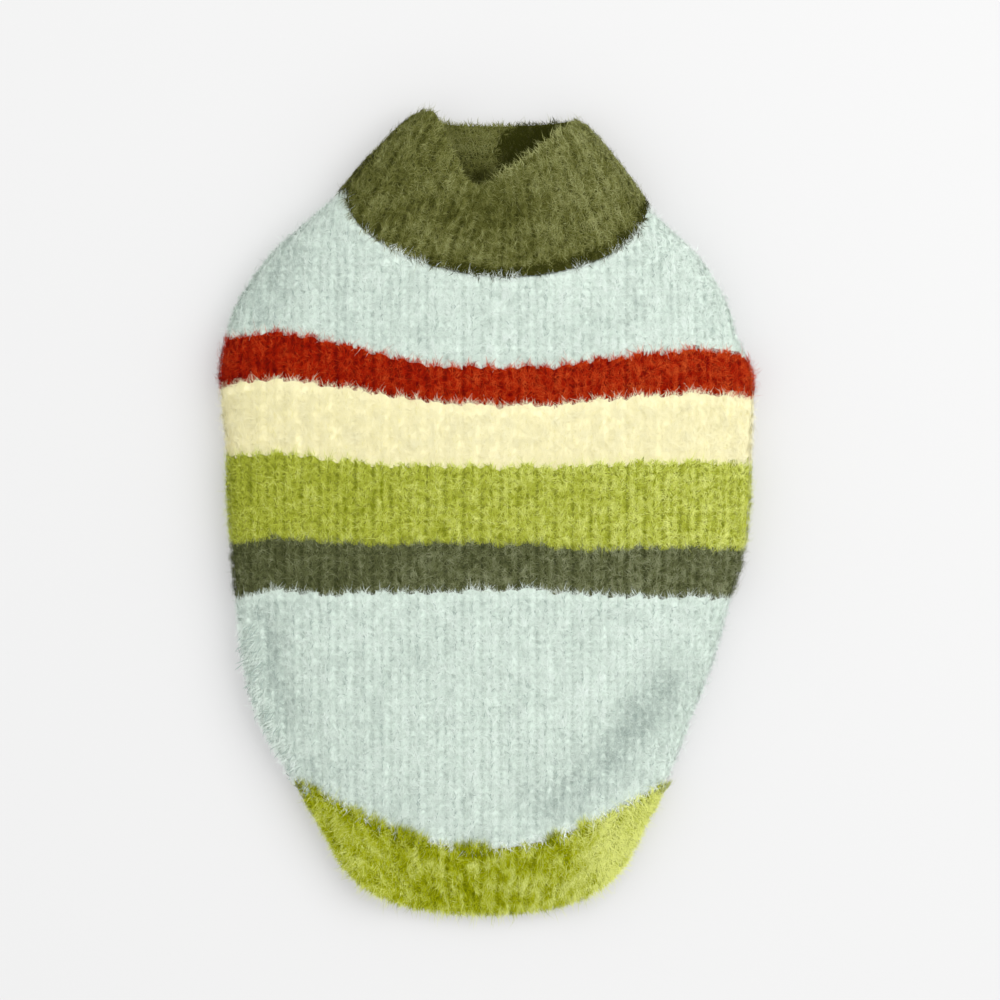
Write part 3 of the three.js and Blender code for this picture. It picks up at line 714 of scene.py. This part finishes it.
# At the collar some lie up over its shaded foot, and at the hem over the seam
low, high = spanAt(along)
onTop = np.abs(turn) < 1.1
overNeck = (high - y < look["seamReach"]) & onTop
neckPatch = smoothStep(patchField(along, along * 0, 5.0, 81), 0.2, 0.8)
longOver = overNeck & (random.random(number) < 0.8 * neckPatch)
heading = np.where(overNeck, random.normal(neckward, look["fringeSpread"], number), heading)
reachOver = np.where(longOver, random.uniform(0.9, 1.8, number), 0.5)
length = np.where(overNeck, look["fibreLength"] * reachOver, length)
byHem = y - low < look["seamReach"]
overHem = byHem & onTop & (random.random(number) < 0.5)
heading = np.where(overHem, random.normal(hemward, look["fringeSpread"], number), heading)
length = np.where(overHem, length * 1.2, length)
length = np.where(byHem & ~overHem, length * 0.7, length)
fine |= overNeck
# The side folds' fuzz stands out more, and at the lower left it lies down over the fold
onFold = smoothStep(np.abs(turn), 0.74, 0.95)
stands = (np.abs(turn) > 0.85) & (np.abs(turn) < 1.5) & (random.random(number) < look["fuzzShare"])
lift = np.where(stands, lift + look["fuzzLift"], lift)
fine |= stands
lowLeft = (turn < -0.55) & (turn > -1.2) & (y < look["combedY"][1]) & (y > look["combedY"][0])
combed = lowLeft & (random.random(number) < look["combedShare"])
heading = np.where(combed, random.normal(look["combedHeading"], 0.3, number), heading)
length = np.where(combed, look["fibreLength"] * random.uniform(1.0, 1.5, number), length)
width = look["fibreWidth"] * random.uniform(0.7, 1.35, number) * np.where(fine, look["fineWidth"], 1)
# Small dark specks of painted shade between stitches, as short fibres that lie on the pile
columnAt = knitPlaces(along, y)[:, 0] * 2
speckChance = look["speckShare"] * patchField(along, y, 9.0, 52)
betweenStitches = np.abs(columnAt - np.round(columnAt)) < 0.16
shadeSpeck = betweenStitches & ~byBorder & ~overNeck & (random.random(number) < speckChance)
roots = roots + out * np.where(shadeSpeck, look["onPile"], 0)[:, None]
speckSpread = np.where(random.random(number) < 0.75, 0.3, 1.4)
heading = np.where(shadeSpeck, random.normal(neckward, speckSpread), heading)
length = np.where(shadeSpeck, random.uniform(0.8, 2.6, number), length)
lift = np.where(shadeSpeck, 0.05, lift)
width = np.where(shadeSpeck, look["speckWidth"], width)
# Long fine hairs, and dark strokes of painted shade on the combed fold
hair = (random.random(number) < hairs["share"]) & ~shadeSpeck & ~fine
length = np.where(hair, look["fibreLength"] * random.uniform(1.4, 2.2, number), length)
lift = np.where(hair, random.uniform(0.25, 0.75, number), lift)
width = np.where(hair, hairs["width"], width)
shadeStroke = combed & (random.random(number) < look["strokeShare"])
length = np.where(shadeStroke, length * 1.4, length)
lift = np.where(shadeStroke, 0.1, lift)
width = np.where(shadeStroke, look["strokeWidth"], width)
roots = roots + out * np.where(shadeStroke, look["onPile"], 0)[:, None]
# Tones with painted light and shade: lighter toward the light at the right on dark yarns, darker in the troughs
tone = pileTone(along, y, heading, length, fullness, bandSpreads[stripe % len(bodyBands)])
x = roots[:, 0]
# Painted light on the side folds, painted shade in the troughs and painted light on the ridges
shade = onFold * np.where(stripe == 5, 0.5, 0.12) - np.where(x < 0, 0.09, 0.16) * troughDepth(x, y, turn)
# Painted light toward the right on dark yarns, painted shade toward both sides on pale ones, most at the left, and
# painted shade on the dark specks
shade += np.where(pale, x * 0.0006 - np.abs(x) * 0.0010, x * 0.0014) - np.where(shadeSpeck, 0.75, 0)
# Painted light on long hairs and on the fibres lying over the hem seam
shade += np.where(longOver | longOne | hair, hairs["tone"], 0) + np.where(overHem, 0.55, 0)
# Painted light on the combed fold, and painted shade in its dark strokes
shade += np.where(combed, np.where(shadeStroke, -1.1, 0.2), 0)
tone += shade[:, None]

backPiles = plantBands(
    ["yokePile", "redPile", "ecruPile", "limePile", "darkPile", "skirtPile"],
    stripe, (roots, across, up, out, heading, length, lift, width, tone),
)


# Belly panel: flat on the surface, with the two leg openings
bellyLook = {
    "columns": 100, "rows": 96, "groundDepth": 1.1, "grooveDepth": 0.6, "legX": 45, "legY": 60, "legHalfWidth": 22,
    "legHalfLength": 28, "fibres": 38000, "fibreLength": 3.0, "fibreWidth": 0.26, "flat": (0.158, 0.206),
    "napShare": 0.35, "napSpread": 0.8, "pileY": (-95, 112),
    "creases": [
        (-50, 20, -18, -12, 5, 1.0), (12, -62, 48, -36, 6, 1.2), (58, 6, 66, 34, 4, 0.8), (-6, 94, -18, 66, 5, 0.8),
    ],
}


def bellyX(share, y):
    left, right = (sectionPoint(y, turnOf(end, y), 0)[0] for end in endsOf(y))
    left, right = left + form["seamGap"], right - form["seamGap"]
    return left + (right - left) * share


def insideBelly(share, y):
    x = bellyX(share, y)
    return (y < neckSeam(x, False)) & (y > hemSeam(x, False))


def legDistance(x, y):
    sided = np.where(x < 0, x + bellyLook["legX"], x - bellyLook["legX"])
    return np.hypot(sided / bellyLook["legHalfWidth"], (y - bellyLook["legY"]) / bellyLook["legHalfLength"])


shares = np.linspace(0, 1, bellyLook["columns"])
middleY = np.full_like(shares, form["widestY"])
bellyLow = lastWhere(lambda y: insideBelly(shares, y), middleY, np.full_like(shares, -140))
bellyHigh = lastWhere(lambda y: insideBelly(shares, y), middleY, np.full_like(shares, 130))
rowShare = np.linspace(0, 1, bellyLook["rows"])
ys = bellyLow[:, None] + (bellyHigh - bellyLow)[:, None] * rowShare[None, :]
shareGrid = np.repeat(shares[:, None], bellyLook["rows"], axis=1)
xs = bellyX(shareGrid, ys)
snapRows(ys, xs, xs, True)
xs = bellyX(shareGrid, ys)
count = xs.size
bellyFaces = gridFaces(bellyLook["columns"], bellyLook["rows"], False)
centreX, centreY = xs.ravel()[bellyFaces].mean(axis=1), ys.ravel()[bellyFaces].mean(axis=1)
kept = bellyFaces[legDistance(centreX, centreY) > 1]
removed = bellyFaces[legDistance(centreX, centreY) <= 1]
shared = np.intersect1d(kept, removed)
flatX, flatY = xs.ravel().copy(), ys.ravel().copy()
away = legDistance(flatX[shared], flatY[shared])
legSide = np.where(flatX[shared] < 0, -bellyLook["legX"], bellyLook["legX"])
flatX[shared] = legSide + (flatX[shared] - legSide) / away
flatY[shared] = bellyLook["legY"] + (flatY[shared] - bellyLook["legY"]) / away
edgePairs = {}
for face in removed:
    for first, second in zip(face, np.roll(face, -1)):
        edgePairs[(int(first), int(second))] = True
legEdges = [(a, b) for a, b in edgePairs if (b, a) not in edgePairs]
grooves = bellyLook["grooveDepth"] * (1 - ribFullness(flatX)) + alongLines(bellyLook["creases"], flatX, flatY)
under = np.stack([flatX, flatY, bellyLook["groundDepth"] + grooves], axis=1)
upper = np.stack([flatX, flatY, np.full(count, form["cloth"])], axis=1)
index = np.arange(count).reshape(bellyLook["columns"], bellyLook["rows"])
rims = [
    rimFaces(index[:, 0], count, False)[:, ::-1], rimFaces(index[:, -1], count, False),
    rimFaces(index[0], count, False), rimFaces(index[-1], count, False)[:, ::-1],
    np.array([(b, a, a + count, b + count) for a, b in legEdges]),
]
faces = np.concatenate([kept[:, ::-1], kept + count, *rims])
used, compact = np.unique(faces, return_inverse=True)
faces = compact.reshape(faces.shape)
points = np.concatenate([under, upper])[used]
bellyShell = newMesh("bellyPanel", toMetres(points), faces, [groundMaterials[name] for name in bodyBands])
setKnitPlaces(bellyShell, knitPlaces(points[:, 0], points[:, 1]), faces)
setBands(bellyShell, stripeAt(points[:, 0], points[:, 1], points[:, 0], True)[0], faces)
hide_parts("belly_panel")
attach(bellyShell, "root")

# Its pile, pressed flat underneath and clear of the leg openings
look = bellyLook
candidates = look["fibres"] * 2
shareAt = random.random(candidates)
y = random.uniform(*look["pileY"], candidates)
x = bellyX(shareAt, y)
good = insideBelly(shareAt, y) & (legDistance(x, y) > 1.02) & (random.random(len(x)) < 0.4 + 0.6 * ribFullness(x))
pick = np.flatnonzero(good)[:look["fibres"]]
x, y = x[pick], y[pick]
fullness = ribFullness(x)
depth = look["groundDepth"] + look["grooveDepth"] * (1 - fullness)
depth = depth + alongLines(look["creases"], x, y) + 0.05
roots = np.stack([x, y, depth], axis=1)
number = len(x)
across, up, out = (np.repeat([way], number, axis=0) for way in ([-1.0, 0, 0], [0, 1.0, 0], [0, 0, -1.0]))
heading = tuftHeading(x, y, look["napShare"], look["napSpread"], 14)
length = look["fibreLength"] * random.uniform(0.7, 1.15, number)
# The steepest that stays off the floor
overFloor = np.arcsin(np.clip((depth - 0.08) / (length * 0.75), 0, 0.9)) - 0.15
lift = np.minimum(random.uniform(0.2, 0.35, number), overFloor)
width = look["fibreWidth"] * random.uniform(0.7, 1.3, number)
stripe = stripeAt(x, y, x, True)[0]
tone = pileTone(x, y, heading, length, fullness, bandSpreads[stripe % len(bodyBands)])
bellyPiles = plantBands(
    ["bellyYokePile", "bellyRedPile", "bellyEcruPile", "bellyLimePile", "bellyDarkPile", "bellySkirtPile"],
    stripe, (roots, across, up, out, heading, length, lift, width, tone),
)
print("belly panel made")


# The tubes joined to the body: the seam ring they start from and the free end they run to
def seamRing(seamLine, spanEnd, push, upperCount, underCount):
    turnEnd = turnOf(spanAlong, spanEnd)
    x = sectionPoint(spanEnd, turnEnd, 0)[0]
    # Only the columns that end on the seam line, not on the side seam
    edgeY = seamLine(x, np.abs(turnEnd) <= 1)
    onSeam = np.abs(spanEnd - edgeY) < 0.05
    first, last = spanAlong[onSeam][0], spanAlong[onSeam][-1]
    along = np.linspace(first, last, upperCount)
    level = np.interp(along, spanAlong, spanEnd)
    outer = bodyPoint(along, level, np.zeros(upperCount))
    inner = bodyPoint(along, level, np.full(upperCount, form["cloth"]))
    underX = np.linspace(outer[-1, 0], outer[0, 0], underCount + 2)[1:-1]
    underY = seamLine(underX, False)
    underOuter = np.stack([underX, underY, np.zeros(underCount)], axis=1)
    underInner = underOuter + (0, 0, form["cloth"])
    turn = np.concatenate([turnOf(along, level), np.full(underCount, 3.0)])
    ring = {
        "along": np.concatenate([along, underX]), "turn": turn, "under": turn > 2,
        "outer": np.concatenate([outer, underOuter]), "inner": np.concatenate([inner, underInner]),
    }
    for face in ("outer", "inner"):
        ring[face][:, 1] += push * form["seamGap"]
    return ring


# A tube's free end, as a section of its own
def endPoint(end, turn, under, depth):
    side = np.where(turn < 0, -1.0, 1.0)
    u, angle = shareAndAngle(turn)
    crown = end["crown"] + (end["foldCrown"] - end["crown"]) * smoothStep(u, 0.45, 0.9)
    topX = end["half"] * u - depth * u**3
    topZ = end["nose"] + (crown - depth - end["nose"]) * arch(u, form["archPower"])
    foldX = end["half"] - depth - (end["reach"] - depth) * (1 - np.cos(angle))
    foldZ = end["nose"] - (end["nose"] - depth) * np.sin(angle)
    runX = (end["half"] - end["reach"]) * under
    x = end["middle"] + byTurn(turn, side * topX, side * foldX, runX)
    z = byTurn(turn, topZ, foldZ, depth)
    foldLine = side * (end["half"] - end["reach"] * (1 - np.cos(angle)))
    lineX = end["middle"] + byTurn(turn, side * end["half"] * u, foldLine, runX)
    y = np.where(np.abs(turn) <= 1, end["backLine"](lineX), end["bellyLine"](lineX))
    return np.stack([x, y, z], axis=-1)


def turnAtShare(end, share):
    turns = np.linspace(0, 1, 41)
    spots = endPoint(end, turns, np.zeros(41), np.zeros(41))
    length = np.concatenate([[0], np.cumsum(np.hypot(np.diff(spots[:, 0]), np.diff(spots[:, 2])))])
    return np.interp(share * length[-1], length, turns)


def tubeForm(ring, end, swell):
    turn, under = ring["turn"], ring["under"]
    upper = np.abs(turn) <= 1
    noseLeft, noseRight = ring["along"][upper].min() - 0.5, ring["along"][upper].max() + 0.5
    share = np.where(ring["along"] < 0, ring["along"] / noseLeft, ring["along"] / noseRight)
    bent = np.where(upper, np.sign(ring["along"] + 1e-9) * turnAtShare(end, np.clip(share, 0, 1)), turn)
    underX = ring["outer"][:, 0]
    left, right = underX[under].min(), underX[under].max()
    across = (underX - left) / (right - left) * 2 - 1
    free = {
        face: endPoint(end, bent, across, np.full(len(turn), depth))
        for face, depth in (("outer", 0.0), ("inner", form["cloth"]))
    }
    swells = swell * 4 * (1 - smoothStep(np.abs(turn), 1, 1.5))
    step = np.linalg.norm(np.diff(np.concatenate([ring["outer"], ring["outer"][:1]]), axis=0), axis=1)
    lengths = np.concatenate([[0], np.cumsum(step)])
    return {"ring": ring, "free": free, "swell": swells, "lengths": lengths, "columns": len(turn)}


# The two columns that a place round a tube lies between, and its share of the way
def columnPair(tube, column):
    i = np.floor(column).astype(int) % tube["columns"]
    return i, (i + 1) % tube["columns"], column - np.floor(column)


# A point of a tube: its column (may be between two), share of the way to the free end, and depth into the cloth
def tubePoint(tube, column, v, depth):
    i, j, part = columnPair(tube, column)
    v = v[..., None]
    faces = {}
    for face in ("outer", "inner"):
        start, stop = (blend(tube[end][face][i], tube[end][face][j], part[..., None]) for end in ("ring", "free"))
        faces[face] = start + (stop - start) * v
    swell = blend(tube["swell"][i], tube["swell"][j], part)[..., None] * v * (1 - v)
    inward = faces["inner"] - faces["outer"]
    thick = np.linalg.norm(inward, axis=-1, keepdims=True)
    return faces["outer"] + unit(inward) * (depth[..., None] * thick / form["cloth"] - swell)


# How far round the body's section a tube's column is, as in sectionPoint
def tubeTurn(tube, column):
    return np.abs(tube["ring"]["turn"][columnPair(tube, column)[0]])


# A tube's place across the ribs of the body, without a blend where the back meets the belly side
def tubeAlong(tube, column):
    along = tube["ring"]["along"]
    i, j, part = columnPair(tube, column)
    return np.where(np.abs(along[j] - along[i]) > 5, along[i], blend(along[i], along[j], part))


def makeTube(name, node, tube, look, yarn):
    columns, rows = tube["columns"], look["rows"]
    column = np.repeat(np.arange(columns, dtype=float)[:, None], rows, axis=1)
    v = np.repeat(np.linspace(0, 1, rows)[None, :], columns, axis=0)
    groove = look["grooveDepth"] * (1 - ribFullness(tubeAlong(tube, column)))
    rimDrop = look["rimRound"] * smoothStep(v, 0.8, 1) ** 2
    outer = tubePoint(tube, column, v, look["groundDepth"] + groove + rimDrop)
    inner = tubePoint(tube, column, v, np.full_like(v, form["cloth"]) - rimDrop * 0.6)
    edgeBack = tubeEdge(tube, column, v) * look["edgeBack"] * smoothStep(v, 0.7, 1)[..., None]
    outer, inner = outer - edgeBack, inner - edgeBack
    along = np.repeat(tube["ring"]["along"][:, None], rows, axis=1)
    places = knitPlaces(along, v * look["height"])
    if look["push"] < 0:
        outer, inner, places = outer[:, ::-1], inner[:, ::-1], places[:, ::-1]
    piece = shell(name, outer, inner, places, True, [groundMaterials[yarn]])
    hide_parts(node)
    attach(piece, "root")
    return piece


# The way the cloth runs at its free edge
def tubeEdge(tube, column, v):
    middleDepth = np.full_like(v, form["cloth"] / 2)
    before = tubePoint(tube, column, np.full_like(v, 0.9), middleDepth)
    return unit(tubePoint(tube, column, np.ones_like(v), middleDepth) - before)


# The pile of a tube's outer or inner face. Keep is the chance of a fibre at a place, and shadeOf adds painted light
# and shade to its tone
def tubePile(name, tube, look, yarn, slotName, inside, vRange, keep, shadeOf):
    columns = tube["columns"]
    count = look["insideFibres"] if inside else look["fibres"]
    depth = form["cloth"] if inside else look["groundDepth"]
    where = random.uniform(0, tube["lengths"][-1], count * 6)
    column = np.interp(where, tube["lengths"], np.arange(columns + 1)) % columns
    v = random.uniform(*vRange, count * 6)
    ribAt = tubeAlong(tube, column)
    fullness = ribFullness(ribAt)
    chance = (0.45 + 0.55 * fullness) * keep(tube, column, v)
    pick = np.flatnonzero(random.random(len(v)) < chance)[:count]
    column, v, fullness, ribAt = column[pick], v[pick], fullness[pick], ribAt[pick]
    number = len(v)
    edgeBack = tubeEdge(tube, column, v) * (look["edgeBack"] * smoothStep(v, 0.7, 1))[:, None]
    sink = 0 if inside else look["grooveDepth"] * (1 - fullness)
    rimDrop = look["rimRound"] * smoothStep(v, 0.8, 1) ** 2 * (-0.6 if inside else 1)
    roots = tubePoint(tube, column, v, np.full(number, depth) + sink + rimDrop) - edgeBack

    def point(a, b):
        return tubePoint(tube, a, b, np.full(number, depth))

    across = unit(point(column + 0.3, v) - point(column - 0.3, v))
    up = unit(point(column, v + 0.02) - point(column, v - 0.02))
    facing = look["push"] * (-1 if inside else 1)
    out = unit(np.cross(across, up)) * facing
    up = unit(np.cross(out, across) * facing)
    rise = v * look["height"]
    heading = tuftHeading(where[pick], rise, look["napShare"], look["napSpread"], 21)
    length = look["fibreLength"] * random.uniform(0.6, 1.2, number)
    if not inside:
        atRim = rise > look["height"] - look["rimReach"]
        heading = np.where(atRim, random.normal(neckward, look["rimSpread"], number), heading)
        atGap = (roots[:, 0] > 4) & (roots[:, 0] < 30) & (tubeTurn(tube, column) < 1)
        overGap = atRim & atGap & (random.random(number) < look["gapHairs"])
        length = np.where(atRim, length * np.where(overGap, 1.5, 0.7), length)
    # Uneven tufts that reach over the seam
    tooth = smoothStep(patchField(ribAt, rise * 0, 4.2, 62), 0.4, 0.8)
    atSeam = (rise < look["seamReach"]) & (random.random(number) < look["overSeam"] * np.minimum(tooth * 3, 1))
    heading = np.where(atSeam, random.normal(hemward, look["seamSpread"], number), heading)
    length = np.where(atSeam, look["fibreLength"] * (0.5 + 1.1 * tooth) * random.uniform(0.8, 1.1, number), length)
    lift = random.uniform(0.2, 0.65, number)
    width = look["fibreWidth"] * random.uniform(0.7, 1.35, number)
    hair = random.random(number) < (0 if inside else hairs["share"])
    length = np.where(hair, look["fibreLength"] * random.uniform(1.3, 2.0, number), length)
    width = np.where(hair, hairs["width"], width)
    spread = yarns[yarn]["spread"] * (0.6 if inside else 1)
    tone = pileTone(ribAt, rise, heading, length, fullness, spread, look["ribShade"], look["clump"], look["mottle"])
    # Painted light toward the right and on long hairs, painted shade on the tufts over the seam, painted light on the
    # hairs over the collar's gap
    shade = shadeOf(tube, column, v, roots) + 0.0014 * roots[:, 0] + np.where(hair, hairs["tone"], 0)
    shade = shade - np.where(atSeam, random.uniform(0, 0.5, number), 0)
    tone += (shade if inside else shade + np.where(overGap, 0.4, 0))[:, None]
    return plantPile(name, roots, across, up, out, heading, length, lift, width, tone, yarn, slotName)


# Fewer fibres underneath, where the tube is pressed flat
def upperMore(tube, column, v):
    return np.where(tubeTurn(tube, column) > 1.3, 0.35, 1.0)


tubeLook = {
    "rimRound": 1.2, "groundDepth": 1.4, "ribShade": 0.08, "napShare": 0.55, "rimReach": 2.5, "seamReach": 3.4,
    "seamSpread": 0.35, "rimSpread": 0.7,
}

# Collar: a ribbed roll neck, open at the top, where its near rim dips and shows the far wall's inside
collarLook = {
    **tubeLook, "rows": 30, "height": 34.0, "grooveDepth": 0.8, "edgeBack": 1.8, "push": 1, "swell": 1.6,
    "fibres": 50000, "insideFibres": 9000, "fibreLength": 3.2, "fibreWidth": 0.22, "napSpread": 0.9,
    "seamShade": 0.8, "overSeam": 0.0, "gapHairs": 0.16, "clump": 0.12, "mottle": 0.15, "flat": (0.33, 0.048),
}
rimBack = np.array([
    (-25.8, 150.8), (-21.5, 151.4), (-18, 147), (-13, 137), (-8, 126.5), (-1.5, 122.5), (5, 126.5), (12.5, 132),
    (20, 138), (27.5, 143.5), (35, 147.5),
])
rimBelly = np.array([(-25.8, 150.8), (-20, 149.3), (-14, 147.2), (16, 147), (35, 148.2)])
collarEnd = {
    "middle": 4.7, "half": 30.4, "crown": 23, "foldCrown": 23, "nose": 10, "reach": 11,
    "backLine": lambda x: through(rimBack, x, 1), "bellyLine": lambda x: through(rimBelly, x, 1),
}
collarTube = tubeForm(seamRing(neckSeam, spanHigh, 1, 170, 64), collarEnd, collarLook["swell"])
collarShell = makeTube("collarRib", "collar", collarTube, collarLook, "olive")


# Painted shade at the collar's seam foot and under the near rim's dip, painted light toward the right
def collarShade(tube, column, v, roots):
    x, y = roots[:, 0], roots[:, 1]
    foot = 1 - smoothStep(v * collarLook["height"], 0.6, 3.6)
    seam = -collarLook["seamShade"] * foot * (0.1 + 0.9 * smoothStep(x, -38, 4)) * (0.5 + patchField(x, y, 4.5, 66))
    shadeUnderV = -0.28 * np.exp(-(((x - 2) / 18) ** 2) - ((y - 112) / 10) ** 2)
    return seam + shadeUnderV + 0.08 * smoothStep(x, 12, 50)


# The far wall's inside is as light as the outside at the left, and painted in deep shade beside the right part of the
# near rim and in a small slot
def collarInside(tube, column, v, roots):
    x, y = roots[:, 0], roots[:, 1]
    beside = ((y - 122.5) * 29 - (x + 1.5) * 21) / math.hypot(29, 21)
    gap = (1 - smoothStep(beside, 9, 11.5)) * smoothStep(x, 3, 7)
    slotShade = np.exp(-(((x + 4) / 6) ** 2) - ((y - 125.5) / 2.5) ** 2)
    return 0.02 - 1.4 * gap - 0.6 * slotShade


def farWallOnly(tube, column, v):
    x = tubePoint(tube, column, v, np.full_like(v, form["cloth"] / 2))[:, 0]
    farWall = (tubeTurn(tube, column) > 2) & (np.abs(x - 5) < 34)
    return np.where(farWall, 1.0, np.where(v > 0.8, 0.6, 0.05))


collar = (collarTube, collarLook, "olive", "collar_knit")
collarPiles = [
    tubePile("collarPile", *collar, False, (0, 1), upperMore, collarShade),
    tubePile("collarInsidePile", *collar, True, (0.35, 1), farWallOnly, collarInside),
]
print("collar made")

# Hem band: turns from the tail of the back round to the belly's free edge
hemLook = {
    **tubeLook, "rows": 20, "height": 25.0, "grooveDepth": 0.7, "edgeBack": 1.4, "push": -1, "swell": 0.4,
    "fibres": 46000, "insideFibres": 3000, "fibreLength": 4.0, "fibreWidth": 0.18, "napSpread": 0.55,
    "overSeam": 0.85, "gapHairs": 0.0, "clump": 0.5, "mottle": 0.14, "flat": (0.30, 0.030),
}
hemEnd = {
    "middle": -1.1, "half": 54.6, "crown": 6, "foldCrown": 12.5, "nose": 6, "reach": 7,
    "cornerY": -122.8, "dropBack": 28.7, "riseBelly": 15, "roundness": 2.3,
}


def hemShare(x):
    return (x - hemEnd["middle"]) / hemEnd["half"]


hemEnd["backLine"] = lambda x: hemEnd["cornerY"] - hemEnd["dropBack"] * arch(hemShare(x), hemEnd["roundness"])
hemEnd["bellyLine"] = lambda x: hemEnd["cornerY"] + hemEnd["riseBelly"] * np.cos(hemShare(x) * math.pi / 2)
hemTube = tubeForm(seamRing(hemSeam, spanLow, -1, 170, 60), hemEnd, hemLook["swell"])
hemShell = makeTube("hemRib", "hem_band", hemTube, hemLook, "hemLime")


# Painted light on the hem band toward the light at the right end, and a little lighter toward the left end
def hemShade(tube, column, v, roots):
    return 0.56 * smoothStep(roots[:, 0], 22, 50) + 0.14 * smoothStep(-roots[:, 0], 10, 50) - 0.06


def everywhere(tube, column, v):
    return np.ones_like(v)


hemBand = (hemTube, hemLook, "hemLime", "hem_knit")
hemPiles = [
    tubePile("hemPile", *hemBand, False, (0, 1), upperMore, hemShade),
    tubePile("hemInsidePile", *hemBand, True, (0.6, 1), everywhere, hemShade),
]
print("hem band made")

# Floor
floorMesh = bpy.data.meshes.new("floor")
floorMesh.from_pydata([(-2, -2, -0.0003), (2, -2, -0.0003), (2, 2, -0.0003), (-2, 2, -0.0003)], [], [(0, 1, 2, 3)])
floor = addObject("floor", floorMesh)
floorMaterial, floorTree, floorShader = principled("paleFloor", 0.0)
floorNoise = addNode(floorTree, "TexNoise", {"Scale": 3}).outputs["Fac"]
floorTone = studio["floorTone"]
floorColor = mixColors(floorTree, floorNoise, (*floorTone, 1), (*(value * 0.995 for value in floorTone), 1))
glow = studio["floorGlow"] / floorTone[0]
feed(floorTree, floorShader, {"Base Color": floorColor, "Emission Color": floorColor, "Emission Strength": glow})
floorMesh.materials.append(floorMaterial)
floor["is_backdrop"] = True

boxes = {"cad": cadBox, "visual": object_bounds()}
{name: [list(corner) for corner in box] for name, box in boxes.items()}
